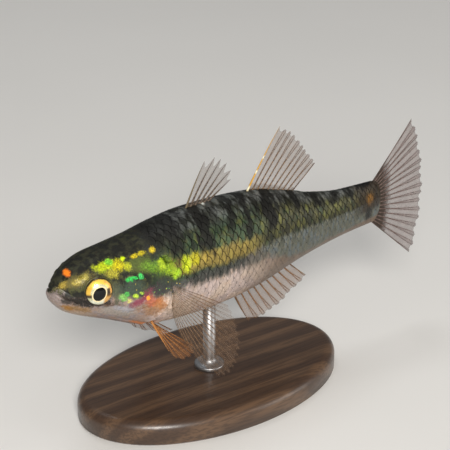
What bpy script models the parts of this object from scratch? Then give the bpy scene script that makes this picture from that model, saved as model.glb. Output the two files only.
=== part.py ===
"""Sunburst gudgeon: a life-size display model of a small aquarium fish, held level over a plain stand.

The fish is laid out in millimetres from the tip of its snout: x runs to the tail, y to its right side and z up
from the body's axis. A turn is the angle round the body from the middle of the back (0) over the left flank
(pi/2) and the belly (pi). World metres come last, with the stand's rod at the origin and the floor at z = 0.
"""
import bmesh
import bpy
import numpy as np

MM = 0.001
GAP = 0.3
AXIS_HEIGHT = 24.0
ROD_AT = 28.0
SIDES = {"left": 1.0, "right": -1.0}

# The body's stations: distance from the snout, height of back and belly, half width, level of the widest line
STATIONS = (
    (0.0, 1.6, 1.6, 0.0, 0.50),
    (1.5, 4.1, -1.6, 2.2, 0.50),
    (3.5, 5.2, -2.8, 3.5, 0.50),
    (6.5, 6.1, -4.1, 4.6, 0.50),
    (10.0, 6.5, -5.5, 5.3, 0.48),
    (14.0, 7.0, -7.1, 6.0, 0.46),
    (18.5, 7.9, -8.1, 6.4, 0.46),
    (24.0, 8.6, -8.3, 6.5, 0.46),
    (30.0, 8.7, -8.1, 6.1, 0.46),
    (36.0, 8.4, -7.4, 5.2, 0.46),
    (42.0, 6.9, -6.0, 4.1, 0.48),
    (48.0, 5.1, -4.8, 3.0, 0.50),
    (54.0, 4.1, -4.0, 2.0, 0.50),
    (60.0, 4.0, -3.6, 1.0, 0.50),
)
SECTION_POWER = 0.92
TAIL_SPLIT = 37.0
TAIL_BASE = 60.0
RING_SIDES = 36
HEAD_RINGS = 14
TRUNK_RINGS = 12
STEM_RINGS = 11

# The gill opening's edge: turn from the nape to the throat, and distance from the snout
GILL_EDGE = ((0.0, 15.2), (0.7, 15.8), (1.2, 16.8), (1.5, 17.0), (1.9, 16.2), (2.3, 14.6), (2.8, 12.6), (np.pi, 12.0))
HEAD_CORE = 14.6

# A gill cover: its front edge and how that bows, the turn of its middle, its half height, and its two faces
COVER_FRONT = 10.6
COVER_BOW = 0.9
COVER_TURN = 1.58
COVER_SPAN = 0.72
COVER_GIRTH = 6.4
COVER_PROUD = 0.28
COVER_DEEP = 0.75
COVER_ROUND = 0.65
RECESS_OUT = 1.2

# An eye: its place as a distance from the snout and a turn, its form, and the raised rim of its orbit
EYE_X = 5.75
EYE_TURN = 1.44
EYE_RADIUS = 2.2
EYE_DEPTH = 1.35
EYE_SUNK = 0.6
RIM_RADIUS = 0.3
RIM_REACH = 2.62
RIM_SUNK = 0.05

# The mouth's cleft in side view: its height at the snout and its fall, its corner, and the chin behind the jaw
CLEFT_TOP = 2.2
CLEFT_FALL = 0.75
CORNER_X = 2.9
CHIN = (7.0, -5.5)
LIP_TURN = 1.86
UPPER_LIP = 0.32
LOWER_LIP = 0.38
LIP_STEPS = 27
LIP_SPARE = 0.02

# Nostrils: the short tube near the lip and the pore before the eye, by distance from the snout and turn
NOSTRILS = ((2.0, 0.62), (3.7, 0.80))
NOSTRIL_PROFILE = ((0.46, -0.4), (0.36, 0.16), (0.29, 0.24), (0.19, 0.2), (0.12, -0.1))

# A fin's half thickness, on its web and on the crest of a ray, at the root and at the tip
WEB = (0.27, 0.2)
CREST = (0.45, 0.24)
RAY_SHARE = 0.22
RAY_FOOT_REACH = 0.975
FIN_ROWS = (0.0, 0.15, 0.45, 0.75, 1.0)

# Fins on the midline: first and last ray, their number, and lean and length of the rays from first to last
FRONT_DORSAL = {
    "first": 23.9,
    "last": 28.2,
    "count": 6,
    "leans": (24.5, 29, 34, 41, 48, 56),
    "reaches": (7.3, 7.9, 7.6, 7.0, 5.9, 4.3),
    "side": 1,
    "notch": 0.84,
}
REAR_DORSAL = {
    "first": 35.3,
    "last": 44.2,
    "count": 10,
    "leans": (31, 35, 40, 44, 49),
    "reaches": (10.7, 10.0, 8.4, 6.9, 5.4),
    "side": 1,
    "notch": 0.95,
}
ANAL = {
    "first": 32.6,
    "last": 43.4,
    "count": 10,
    "leans": (24, 29, 35, 40, 46),
    "reaches": (6.8, 7.3, 6.7, 5.9, 5.0),
    "side": -1,
    "notch": 0.95,
}
RAY_BOW = 0.06

# The tail fin: number of rays, half height of its root, spread, and length at its middle and what its corners add
TAIL_RAYS = 15
TAIL_ROOT = 3.3
TAIL_SPREAD = 46.0
TAIL_TILT = 3.0
TAIL_REACH = 11.3
TAIL_CORNER = 1.5

# Paired fins: number of rays, foot line as distances and turns, ray directions and lengths from first to last
PECTORAL_RAYS = 13
PECTORAL_X = (17.9, 17.0)
PECTORAL_TURN = (1.50, 1.90)
PECTORAL_DOWN = (27.0, 93.0)
PECTORAL_FLARE = (0.5, 0.15)
PECTORAL_SHARES = (0, 0.34, 0.6, 0.78, 1)
PECTORAL_REACHES = (8.3, 13.3, 15.0, 14.0, 6.5)
PELVIC_RAYS = 6
PELVIC_X = (15.2, 16.5)
PELVIC_TURN = (2.53, 2.87)
PELVIC_AIMS = ((0.25, -0.42, -0.87), (0.72, -0.12, -0.68))
PELVIC_SHARES = (0, 0.3, 0.75, 1)
PELVIC_REACHES = (5.0, 7.5, 9.2, 8.2)
ROOT_CLEAR = GAP + 0.45
MID_CLEAR = GAP + 0.03

# The stand: an oval base whose edge is rounded by (inset, height) steps, and a rod with a collar at its foot
BASE_LENGTH = 46.0
BASE_WIDTH = 28.0
BASE_THICK = 4.0
BASE_EDGE = ((0.4, 0.0), (0.0, 0.4), (0.0, 2.4), (0.3, 3.3), (1.0, 3.85), (1.9, BASE_THICK))
ROD_RADIUS = 1.0
COLLAR = ((2.4, 0.0), (2.4, 0.7), (1.9, 1.2), (ROD_RADIUS, 1.6))

OLIVE = (0.10, 0.12, 0.05)
GREEN = (0.16, 0.22, 0.08)
SILVER = (0.20, 0.20, 0.14)
PALE = (0.45, 0.36, 0.30)
IRIS = (0.55, 0.50, 0.30)
SMOKE = (0.22, 0.19, 0.16)
AMBER = (0.32, 0.23, 0.16)
RUST = (0.40, 0.20, 0.10)
WALNUT = (0.05, 0.03, 0.02)
STEEL = (0.60, 0.60, 0.60)


def clear_scene():
    """Removes whatever the file holds before the model is made."""
    for item in list(bpy.data.objects):
        bpy.data.objects.remove(item, do_unlink=True)


def smooth(places, values):
    """Returns a monotone cubic through the given values, which never overshoots them."""
    steps = np.diff(places)
    rises = np.diff(values) / steps
    slopes = np.zeros_like(places)
    product = rises[:-1] * rises[1:]
    total = np.where(rises[:-1] + rises[1:] == 0, 1, rises[:-1] + rises[1:])
    slopes[1:-1] = np.where(product > 0, 2 * product / total, 0)
    slopes[0] = rises[0]
    slopes[-1] = rises[-1]

    def at(x):
        x = np.clip(x, places[0], places[-1])
        i = np.clip(np.searchsorted(places, x, side="right") - 1, 0, len(steps) - 1)
        t = (x - places[i]) / steps[i]
        start = (1 + 2 * t) * (1 - t) ** 2 * values[i] + t * (1 - t) ** 2 * steps[i] * slopes[i]
        end = t * t * (3 - 2 * t) * values[i + 1] + t * t * (t - 1) * steps[i] * slopes[i + 1]
        return start + end

    return at


# The profile is drawn over the square root of the distance, which rounds the snout
TABLE = np.array(STATIONS)
BACK, BELLY, HALF, LEVEL = (smooth(np.sqrt(TABLE[:, 0]), TABLE[:, i]) for i in range(1, 5))
EDGE = smooth(*np.array(GILL_EDGE).T)


def back(x):
    """Height of the back's ridge."""
    return BACK(np.sqrt(x))


def belly(x):
    """Height of the belly's keel."""
    return BELLY(np.sqrt(x))


def gill_edge(turn):
    """Distance from the snout to the gill opening's edge, alike on both sides."""
    folded = np.pi - np.abs(np.pi - np.mod(turn, 2 * np.pi))
    return EDGE(folded)


def skin(x, turn):
    """Points on the body: an upper and a lower half oval that share the widest line."""
    x, turn = np.broadcast_arrays(x, turn)
    root = np.sqrt(np.maximum(x, 0))
    top = BACK(root)
    low = BELLY(root)
    middle = low + (top - low) * LEVEL(root)
    cosine = np.cos(turn)
    sine = np.sin(turn)
    lift = np.sign(cosine) * np.abs(cosine) ** SECTION_POWER
    y = -HALF(root) * np.sign(sine) * np.abs(sine) ** SECTION_POWER
    z = middle + np.where(lift > 0, lift * (top - middle), lift * (middle - low))
    return np.stack([x, y, z], -1)


def unit(vectors):
    """Scales vectors to a length of one."""
    vectors = np.asarray(vectors, float)
    return vectors / np.linalg.norm(vectors, axis=-1, keepdims=True)


def outward(x, turn):
    """Unit normals of the body's surface, from the cross product of its two directions."""
    small = 0.01
    along = skin(x + small, turn) - skin(x - small, turn)
    around = skin(x, turn + small) - skin(x, turn - small)
    return unit(np.cross(around, along))


def mirror(side):
    """Factors that carry points of the left flank to the given side."""
    return np.array([1.0, side, 1.0])


def add_object(name, points, faces):
    """Makes a closed mesh object from points in the fish's millimetres, with its faces pointing outwards."""
    world = (np.asarray(points) - [ROD_AT, 0, -AXIS_HEIGHT]) * MM
    mesh = bpy.data.meshes.new(name)
    mesh.from_pydata(world.tolist(), [], faces)
    shell = bmesh.new()
    shell.from_mesh(mesh)
    bmesh.ops.recalc_face_normals(shell, faces=shell.faces)
    shell.to_mesh(mesh)
    shell.free()
    item = bpy.data.objects.new(name, mesh)
    bpy.context.scene.collection.objects.link(item)
    return item


def closed_loft(name, rings, first_tip, last_tip):
    """Skins a stack of closed rings and closes each end with a fan to its tip."""
    count, sides = rings.shape[:2]
    points = np.concatenate([rings.reshape(-1, 3), [first_tip], [last_tip]])
    first = count * sides
    last = first - sides
    faces = []
    for j in range(sides):
        k = (j + 1) % sides
        faces += [(i + j, i + k, i + sides + k, i + sides + j) for i in range(0, last, sides)]
        faces.append((k, j, first))
        faces.append((last + j, last + k, first + 1))
    return add_object(name, points, faces)


def circles(ahead, side, sides):
    """Unit circles that stand across the given directions, with one axis along the given side."""
    side = unit(side)
    over = np.cross(side, ahead)
    angle = np.linspace(0, 2 * np.pi, sides, endpoint=False)[None, :, None]
    return np.cos(angle) * side[:, None] + np.sin(angle) * over[:, None]


def tube(name, path, radii, sides=8):
    """Carries a circle along an open path, with a tip just past each end."""
    ahead = unit(np.gradient(path, axis=0))
    rings = path[:, None] + circles(ahead, np.cross(ahead, [0.0, 0.0, 1.0]), sides) * radii[:, None, None]
    return closed_loft(name, rings, path[0] - ahead[0] * radii[0], path[-1] + ahead[-1] * radii[-1])


def ring_tube(name, path, outs, radius, sides=8):
    """Carries a circle round a closed path, with one of its axes along the given normals."""
    ahead = unit(np.roll(path, -1, axis=0) - np.roll(path, 1, axis=0))
    rings = path[:, None] + circles(ahead, np.cross(ahead, outs), sides) * radius
    count = len(path)
    faces = []
    for i in range(count):
        n = (i + 1) % count
        for j in range(sides):
            k = (j + 1) % sides
            faces.append((i * sides + j, i * sides + k, n * sides + k, n * sides + j))
    return add_object(name, rings.reshape(-1, 3), faces)


def lathe(name, centre, axis, profile, sides):
    """Turns a profile of (radius, height) pairs about an axis, closed at its first and last heights."""
    axis = unit(axis)
    aside = [0.0, 0.0, 1.0] if abs(axis[2]) < 0.9 else [0.0, 1.0, 0.0]
    circle = circles(axis[None], np.cross(aside, axis)[None], sides)
    profile = np.asarray(profile)
    rings = centre + circle * profile[:, :1, None] + axis * profile[:, 1:, None]
    return closed_loft(name, rings, centre + axis * profile[0, 1], centre + axis * profile[-1, 1])


def combine(base, others, operation):
    """Joins or cuts one closed object with a collection of others, applies the result and removes them."""
    group = bpy.data.collections.new("others")
    bpy.context.scene.collection.children.link(group)
    for item in others:
        bpy.context.scene.collection.objects.unlink(item)
        group.objects.link(item)
    change = base.modifiers.new("change", "BOOLEAN")
    change.operation = operation
    change.operand_type = "COLLECTION"
    change.collection = group
    change.solver = "EXACT"
    bpy.context.view_layer.update()
    settled = base.evaluated_get(bpy.context.evaluated_depsgraph_get())
    base.data = bpy.data.meshes.new_from_object(settled)
    base.modifiers.clear()
    for item in others:
        bpy.data.objects.remove(item, do_unlink=True)
    bpy.data.collections.remove(group)
    keep_largest(base)
    return base


def island_of(face, left):
    """Collects the faces that are joined to one face, and takes them out of those left."""
    island = {face}
    edge = [face]
    left.discard(face)
    while edge:
        for link in edge.pop().edges:
            for near in link.link_faces:
                if near in left:
                    left.discard(near)
                    island.add(near)
                    edge.append(near)
    return island


def keep_largest(item):
    """Keeps the one closed surface of an object that has the most faces."""
    shell = bmesh.new()
    shell.from_mesh(item.data)
    left = set(shell.faces)
    best = set()
    while left:
        best = max(best, island_of(next(iter(left)), left), key=len)
    bmesh.ops.delete(shell, geom=[face for face in shell.faces if face not in best], context="FACES")
    shell.to_mesh(item.data)
    shell.free()


def paint(item, colour, roughness=0.35, metallic=0.0):
    """Gives a node its own material and shades it smooth except at its sharp edges."""
    finish = bpy.data.materials.new(item.name)
    finish.use_nodes = True
    shader = finish.node_tree.nodes["Principled BSDF"]
    shader.inputs["Base Color"].default_value = (*colour, 1.0)
    shader.inputs["Roughness"].default_value = roughness
    shader.inputs["Metallic"].default_value = metallic
    item.data.materials.clear()
    item.data.materials.append(finish)
    item.data.shade_smooth()
    item.data.set_sharp_from_angle(angle=0.8)


def body_turns():
    """The angles of the points of one ring round the body."""
    return np.linspace(0, 2 * np.pi, RING_SIDES, endpoint=False)


def whole_head(name):
    """The head from the snout to the gill opening, before anything is raised on it or cut from it."""
    turn, share = np.meshgrid(body_turns(), np.linspace(0, 1, HEAD_RINGS + 1)[1:] ** 1.6)
    rings = skin(gill_edge(turn) * share, turn)
    return closed_loft(name, rings, (0, 0, STATIONS[0][1]), (HEAD_CORE, 0, 0))


def eyeball(name, side, swell=0.0):
    """An eyeball, an oval turned about the line of sight, or its socket where it is swollen by the gap."""
    axis = outward(EYE_X, EYE_TURN) * mirror(side)
    centre = skin(EYE_X, EYE_TURN) * mirror(side) - axis * EYE_SUNK
    angle = np.linspace(0.06, np.pi - 0.06, 11)
    profile = np.stack([(EYE_RADIUS + swell) * np.sin(angle), -(EYE_DEPTH + swell) * np.cos(angle)], 1)
    return lathe(name, centre, axis, profile, 22)


def eye_rim(name, side):
    """The raised rim of an orbit: a closed tube that follows the skin round the eye."""
    angle = np.linspace(0, 2 * np.pi, 26, endpoint=False)
    girth = np.linalg.norm(skin(EYE_X, EYE_TURN + 0.01) - skin(EYE_X, EYE_TURN - 0.01)) / 0.02
    x = EYE_X + RIM_REACH * np.cos(angle)
    turn = EYE_TURN + RIM_REACH / girth * np.sin(angle)
    outs = outward(x, turn)
    path = skin(x, turn) - RIM_SUNK * outs
    return ring_tube(name, path * mirror(side), outs * mirror(side), RIM_RADIUS)


def nostril(name, side, x, turn):
    """A nostril: a low tube with a rounded lip and a pit."""
    return lathe(name, skin(x, turn) * mirror(side), outward(x, turn) * mirror(side), NOSTRIL_PROFILE, 9)


def cleft_height(x):
    """Height of the mouth's cleft in side view."""
    return CLEFT_TOP - CLEFT_FALL * x


def lip(name, rise, radius, sunk):
    """A lip: a tube along the line where the skin stands a given height over the mouth's cleft.

    For each turn the distance from the snout is found by halving the stretch that holds it. The line is then
    divided into even steps along its length.
    """
    turn = np.linspace(-LIP_TURN, LIP_TURN, 401)
    low = np.zeros_like(turn)
    high = np.full_like(turn, CORNER_X + 1.0)
    for _ in range(40):
        x = (low + high) / 2
        under = skin(x, turn)[:, 2] < cleft_height(x) + rise * np.hypot(1, CLEFT_FALL)
        low = np.where(under, x, low)
        high = np.where(under, high, x)
    steps = np.linalg.norm(np.diff(skin(x, turn), axis=0), axis=1)
    run = np.concatenate([[0], np.cumsum(steps)])
    share = np.linspace(-1, 1, LIP_STEPS)
    x, turn = (np.interp((1 + share) / 2 * run[-1], run, values) for values in (x, turn))
    radii = radius * np.sqrt(1 - 0.85 * share ** 4)
    return tube(name, skin(x, turn) - sunk * outward(x, turn), radii)


def jaw_wedge(name, clearance):
    """A block whose upper edge follows the mouth's cleft and whose rear edge runs down to the chin."""
    snout = np.array([0.0, CLEFT_TOP])
    corner = np.array([CORNER_X, cleft_height(CORNER_X)])
    cleft_way = unit([1.0, -CLEFT_FALL])
    chin_way = unit(np.array(CHIN) - corner)
    start = snout + clearance * np.array([-cleft_way[1], cleft_way[0]])
    shifted = corner + clearance * np.array([-chin_way[1], chin_way[0]])
    ahead = np.linalg.solve(np.stack([cleft_way, -chin_way], 1), shifted - start)[0]
    meet = start + cleft_way * ahead
    low = meet + chin_way * 9
    outline = [start - cleft_way * 3, meet, low, (-3.0, low[1])]
    count = len(outline)
    points = [(x, y, z) for y in (-9.0, 9.0) for x, z in outline]
    faces = [tuple(range(count)), tuple(range(2 * count - 1, count - 1, -1))]
    for i in range(count):
        j = (i + 1) % count
        faces.append((i, j, count + j, count + i))
    return add_object(name, points, faces)


def gill_cover(name, side, swell=0.0):
    """A gill cover: a rounded plate bent with the cheek, or its recess where it is swollen by the gap.

    Its rings run out over the outer face, round the edge and back in over the inner face.
    """
    angle = np.linspace(0, 2 * np.pi, 32, endpoint=False)
    radii = np.array([0.35, 0.7, 0.9, 1.0, 1.0, 0.9, 0.6, 0.3])[:, None]
    if swell:
        heights = np.repeat([RECESS_OUT, -COVER_DEEP - swell], 4)
    else:
        heights = np.array([1, 1, 1, 0.4, 0, 0, 0, 0]) * COVER_PROUD
        heights[4:] = -COVER_DEEP
    length = gill_edge(COVER_TURN) - COVER_FRONT
    u = radii * np.sign(np.cos(angle)) * np.abs(np.cos(angle)) ** COVER_ROUND
    v = radii * np.sign(np.sin(angle)) * np.abs(np.sin(angle)) ** COVER_ROUND
    turn = COVER_TURN + COVER_SPAN * (1 + swell / (COVER_SPAN * COVER_GIRTH)) * v
    front = COVER_FRONT + COVER_BOW * np.abs(v)
    x = front + (gill_edge(turn) - front) * (1 + u * (1 + 2 * swell / length)) / 2
    points = skin(x, turn) + outward(x, turn) * heights[:, None, None]
    middle = skin(COVER_FRONT + length / 2, COVER_TURN)
    out = outward(COVER_FRONT + length / 2, COVER_TURN)
    tips = [(middle + out * height) * mirror(side) for height in (heights[0], heights[-1])]
    return closed_loft(name, points * mirror(side), *tips)


def make_head():
    """The head with lips, nostrils and orbits, cut for the lower jaw, the eyes and the gill covers."""
    head = whole_head("head")
    raised = [lip("upper_lip", GAP + UPPER_LIP + LIP_SPARE, UPPER_LIP, UPPER_LIP / 2)]
    cuts = [jaw_wedge("mouth", GAP)]
    for word, side in SIDES.items():
        raised.append(eye_rim(f"rim_{word}", side))
        raised += [nostril(f"nostril_{word}_{x}", side, x, turn) for x, turn in NOSTRILS]
        cuts.append(eyeball(f"socket_{word}", side, GAP))
        cuts.append(gill_cover(f"recess_{word}", side, GAP))
    combine(head, raised, "UNION")
    return combine(head, cuts, "DIFFERENCE")


def make_lower_jaw():
    """The lower jaw: the part of the head below the cleft, with its lip."""
    jaw = combine(whole_head("lower_jaw"), [jaw_wedge("chin", 0.0)], "INTERSECT")
    return combine(jaw, [lip("lower_lip", -LOWER_LIP - LIP_SPARE, LOWER_LIP, LIP_SPARE)], "UNION")


def make_trunk():
    """The body from the gill opening to the middle of the second dorsal fin."""
    turn, share = np.meshgrid(body_turns(), np.linspace(0, 1, TRUNK_RINGS + 1))
    start = gill_edge(turn) + MID_CLEAR
    rings = skin(start + (TAIL_SPLIT - start) * share, turn)
    return closed_loft("trunk", rings, (HEAD_CORE + MID_CLEAR, 0, 0), (TAIL_SPLIT, 0, 0))


def make_tail_stem():
    """The narrowing body behind the trunk, up to the root of the tail fin."""
    turn, x = np.meshgrid(body_turns(), np.linspace(TAIL_SPLIT + GAP, TAIL_BASE, STEM_RINGS + 1))
    return closed_loft("tail_stem", skin(x, turn), (TAIL_SPLIT + GAP, 0, 0), (TAIL_BASE, 0, 0))


def fin(name, feet, aims, reaches, across, bows, notch):
    """A closed fin whose two faces share one grid, with a ridge along each ray and a scalloped edge.

    Each ray gives three columns of the grid, its crest and the foot on either side, and each web one more.
    """
    count = len(feet)
    columns = []
    for i in range(count):
        columns += [(i - RAY_SHARE, 0.0, RAY_FOOT_REACH), (i, 1.0, 1.0)]
        columns += [(i + RAY_SHARE, 0.0, RAY_FOOT_REACH), (i + 0.5, 0.0, notch)]
    at, crest, length = np.array(columns[1:-2]).T
    feet, aims, across, bows = (spread(at, values) for values in (feet, aims, across, bows))
    share = np.array(FIN_ROWS)
    reach = np.interp(at, np.arange(count), reaches) * length
    centre = feet[:, None] + unit(aims)[:, None] * (reach[:, None] * share)[..., None]
    centre = centre + bows[:, None] * share[None, :, None] ** 2
    web = WEB[0] + (WEB[1] - WEB[0]) * share
    ridge = CREST[0] + (CREST[1] - CREST[0]) * share
    half = web + (ridge - web) * crest[:, None]
    return fin_shell(name, centre, unit(across)[:, None] * half[..., None])


def spread(at, values):
    """Reads rows of vectors at fractions of their index."""
    return np.stack([np.interp(at, np.arange(len(values)), part) for part in values.T], 1)


def fin_shell(name, centre, offset):
    """Closes a front and a back grid with strips along the border, with the same diagonals on both faces."""
    columns, rows = centre.shape[:2]
    points = np.concatenate([(centre + offset).reshape(-1, 3), (centre - offset).reshape(-1, 3)])
    other = columns * rows
    faces = []
    for i in range(columns - 1):
        for j in range(rows - 1):
            a = i * rows + j
            b = a + rows
            faces += [(a, b, b + 1), (a, b + 1, a + 1)]
            faces += [(other + a, other + b + 1, other + b), (other + a, other + a + 1, other + b + 1)]
    rim = list(range(rows))
    rim += [i * rows + rows - 1 for i in range(1, columns)]
    rim += [(columns - 1) * rows + j for j in range(rows - 2, -1, -1)]
    rim += [i * rows for i in range(columns - 2, 0, -1)]
    for a, b in zip(rim, rim[1:] + rim[:1]):
        faces += [(a, b, other + b), (a, other + b, other + a)]
    return add_object(name, points, faces)


def even(values, count):
    """Spreads a few values evenly over a number of rays."""
    return np.interp(np.linspace(0, 1, count), np.linspace(0, 1, len(values)), values)


def upright_fin(name, first, last, count, leans, reaches, side, notch):
    """A fin on the midline: rays from the back (side 1) or the keel (side -1), leaning back from the upright."""
    x = np.linspace(first, last, count)
    edge = back(x) if side > 0 else belly(x)
    feet = np.stack([x, 0 * x, edge + side * MID_CLEAR], 1)
    lean = np.radians(even(leans, count))
    aims = np.stack([np.sin(lean), 0 * lean, side * np.cos(lean)], 1)
    lengths = even(reaches, count)
    bows = np.stack([RAY_BOW * lengths, 0 * lengths, 0 * lengths], 1)
    return fin(name, feet, aims, lengths, np.tile([0.0, 1.0, 0.0], (count, 1)), bows, notch)


def make_tail_fin():
    """The tail fin: rays fan out from the end of the tail stem to a gently rounded rear edge."""
    share = np.linspace(-1, 1, TAIL_RAYS)
    middle = (back(TAIL_BASE) + belly(TAIL_BASE)) / 2
    feet = np.stack([TAIL_BASE + GAP + 0 * share, 0 * share, middle + TAIL_ROOT * share], 1)
    angle = np.radians(TAIL_TILT + TAIL_SPREAD * share)
    aims = np.stack([np.cos(angle), 0 * angle, np.sin(angle)], 1)
    reaches = TAIL_REACH + TAIL_CORNER * share ** 2
    return fin("caudal_fin", feet, aims, reaches, np.tile([0.0, 1.0, 0.0], (TAIL_RAYS, 1)), 0 * feet, 0.96)


def paired_fin(name, side, x, turn, aims, reaches):
    """A fin that fans out from a short foot line on the skin, given for the left side and mirrored for the right."""
    feet = skin(x, turn) + outward(x, turn) * ROOT_CLEAR
    across = unit(np.cross(aims, feet[-1] - feet[0]))
    left = mirror(side)
    return fin(name, feet * left, aims * left, reaches, across * left, 0 * feet, 0.95)


def make_pectoral_fin(name, side):
    """A pectoral fin: a broad fan behind the gill cover, its rays held down and a little away from the flank."""
    down = np.radians(even(PECTORAL_DOWN, PECTORAL_RAYS))
    flare = even(PECTORAL_FLARE, PECTORAL_RAYS)
    aims = unit(np.stack([np.cos(down), -flare, -np.sin(down)], 1))
    reaches = np.interp(np.linspace(0, 1, PECTORAL_RAYS), PECTORAL_SHARES, PECTORAL_REACHES)
    x = even(PECTORAL_X, PECTORAL_RAYS)
    return paired_fin(name, side, x, even(PECTORAL_TURN, PECTORAL_RAYS), aims, reaches)


def make_pelvic_fin(name, side):
    """A pelvic fin: a short spine and five rays under the belly, spread down, back and outwards."""
    aims = unit(np.stack([even(pair, PELVIC_RAYS) for pair in zip(*PELVIC_AIMS)], 1))
    reaches = np.interp(np.linspace(0, 1, PELVIC_RAYS), PELVIC_SHARES, PELVIC_REACHES)
    x = even(PELVIC_X, PELVIC_RAYS)
    return paired_fin(name, side, x, even(PELVIC_TURN, PELVIC_RAYS), aims, reaches)


def make_stand_base():
    """A low oval base with a rounded upper edge."""
    angle = np.linspace(0, 2 * np.pi, 48, endpoint=False)
    inset, height = np.array(BASE_EDGE).T[..., None]
    x = ROD_AT + (BASE_LENGTH / 2 - inset) * np.cos(angle)
    y = (BASE_WIDTH / 2 - inset) * np.sin(angle)
    rings = np.stack([x, y, height - AXIS_HEIGHT + 0 * angle], -1)
    tips = [(ROD_AT, 0, level - AXIS_HEIGHT) for level in (0.0, BASE_THICK)]
    return closed_loft("stand_base", rings, *tips)


def make_stand_rod():
    """One rod from a collar on the base up to the belly."""
    foot = BASE_THICK + GAP - AXIS_HEIGHT
    outline = [(radius, foot + height) for radius, height in COLLAR]
    outline.append((ROD_RADIUS, belly(ROD_AT) - GAP))
    return lathe("stand_rod", np.array([ROD_AT, 0, 0]), (0, 0, 1), outline, 20)


def main():
    """Builds every node of the model."""
    clear_scene()
    paint(make_head(), OLIVE)
    paint(make_lower_jaw(), PALE)
    paint(make_trunk(), OLIVE)
    paint(make_tail_stem(), SILVER)
    for word, side in SIDES.items():
        paint(eyeball(f"eye_{word}", side), IRIS, 0.1)
        paint(gill_cover(f"gill_cover_{word}", side), GREEN)
        paint(make_pectoral_fin(f"pectoral_fin_{word}", side), AMBER)
        paint(make_pelvic_fin(f"pelvic_fin_{word}", side), RUST)
    paint(upright_fin("dorsal_fin_front", **FRONT_DORSAL), SMOKE)
    paint(upright_fin("dorsal_fin_rear", **REAR_DORSAL), AMBER)
    paint(upright_fin("anal_fin", **ANAL), AMBER)
    paint(make_tail_fin(), SMOKE)
    paint(make_stand_base(), WALNUT)
    paint(make_stand_rod(), STEEL, 0.25, 1.0)


main()
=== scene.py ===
"""Looks of the sunburst gudgeon: a life-size display model of a small aquarium fish over a plain stand.

Lengths are millimetres in the fish's own frame until a mesh is made: x runs from the tip of the snout to the
tail, y to the fish's right side and z up from its axis. A turn is the angle round the body from the ridge of
the back (0) over the left flank to the keel of the belly (pi), and goes on over the right flank.
"""

from __future__ import annotations

import logging
import math
from dataclasses import dataclass
from enum import Enum
from typing import Callable, Mapping, Sequence

import bpy
import numpy as np
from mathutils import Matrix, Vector

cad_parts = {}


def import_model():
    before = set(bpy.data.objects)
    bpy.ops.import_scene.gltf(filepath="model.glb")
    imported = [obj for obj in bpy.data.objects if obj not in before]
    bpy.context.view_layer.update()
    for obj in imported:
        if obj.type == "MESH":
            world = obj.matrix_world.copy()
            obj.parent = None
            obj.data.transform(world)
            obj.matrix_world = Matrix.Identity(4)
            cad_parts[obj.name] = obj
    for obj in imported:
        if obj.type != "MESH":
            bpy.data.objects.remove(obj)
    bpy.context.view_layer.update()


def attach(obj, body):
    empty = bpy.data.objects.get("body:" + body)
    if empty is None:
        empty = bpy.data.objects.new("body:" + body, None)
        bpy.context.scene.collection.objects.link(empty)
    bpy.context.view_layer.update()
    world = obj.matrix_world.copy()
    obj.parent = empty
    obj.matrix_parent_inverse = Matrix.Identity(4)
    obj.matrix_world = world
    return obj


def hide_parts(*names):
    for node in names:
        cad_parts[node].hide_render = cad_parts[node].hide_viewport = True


LOG = logging.getLogger("gudgeon")
Array = np.ndarray
Colour = tuple[float, float, float]

MM = 0.001
AXIS_HEIGHT = 24.0
ROD_AT = 28.0
BODY = "root"


class Side(Enum):
    """The two sides of the fish, as the factor that carries points of the left flank there."""

    LEFT = 1.0
    RIGHT = -1.0

    @property
    def word(self) -> str:
        """The side's name as the nodes spell it."""
        return self.name.lower()

    @property
    def mirror(self) -> Array:
        """Factors for the three coordinates of a point."""
        return np.array([1.0, self.value, 1.0])


class Slot(Enum):
    """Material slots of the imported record."""

    SKIN = "skin"
    FINS = "fins"
    EYE = "eye"
    WOOD = "base_wood"
    STEEL = "rod_steel"


# Meshes


def unit(vectors: Array) -> Array:
    """Scales vectors to a length of one."""
    vectors = np.asarray(vectors, float)
    return vectors / np.linalg.norm(vectors, axis=-1, keepdims=True)


def bump_curve(distance: Array, width: float) -> Array:
    """A bell: exp(-(distance / width) squared)."""
    return np.exp(-((distance / width) ** 2))


def step_curve(value: Array, low: float, high: float) -> Array:
    """A smooth step 3t^2 - 2t^3 that rises from 0 at low to 1 at high."""
    t = np.clip((value - low) / (high - low), 0, 1)
    return t * t * (3 - 2 * t)


def monotone(places: Array, values: Array) -> Callable[[Array], Array]:
    """A cubic through given values that never overshoots them.

    Each slope is the harmonic mean 2ab / (a + b) of its neighbours' rises, or 0 where they disagree in sign.
    Each stretch is the Hermite cubic of its ends.

    Args:
        places: Rising places.
        values: The value at each place.

    Returns:
        A function of an array of places.
    """
    steps = np.diff(places)
    rises = np.diff(values) / steps
    product = rises[:-1] * rises[1:]
    total = np.where(rises[:-1] + rises[1:] == 0, 1, rises[:-1] + rises[1:])
    slopes = np.concatenate([rises[:1], np.where(product > 0, 2 * product / total, 0), rises[-1:]])

    def at(x: Array) -> Array:
        """The curve's values at some places."""
        x = np.clip(x, places[0], places[-1])
        i = np.clip(np.searchsorted(places, x, side="right") - 1, 0, len(steps) - 1)
        t = (x - places[i]) / steps[i]
        start = (1 + 2 * t) * (1 - t) ** 2 * values[i] + t * (1 - t) ** 2 * steps[i] * slopes[i]
        return start + t * t * (3 - 2 * t) * values[i + 1] + t * t * (t - 1) * steps[i] * slopes[i + 1]

    return at


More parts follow.
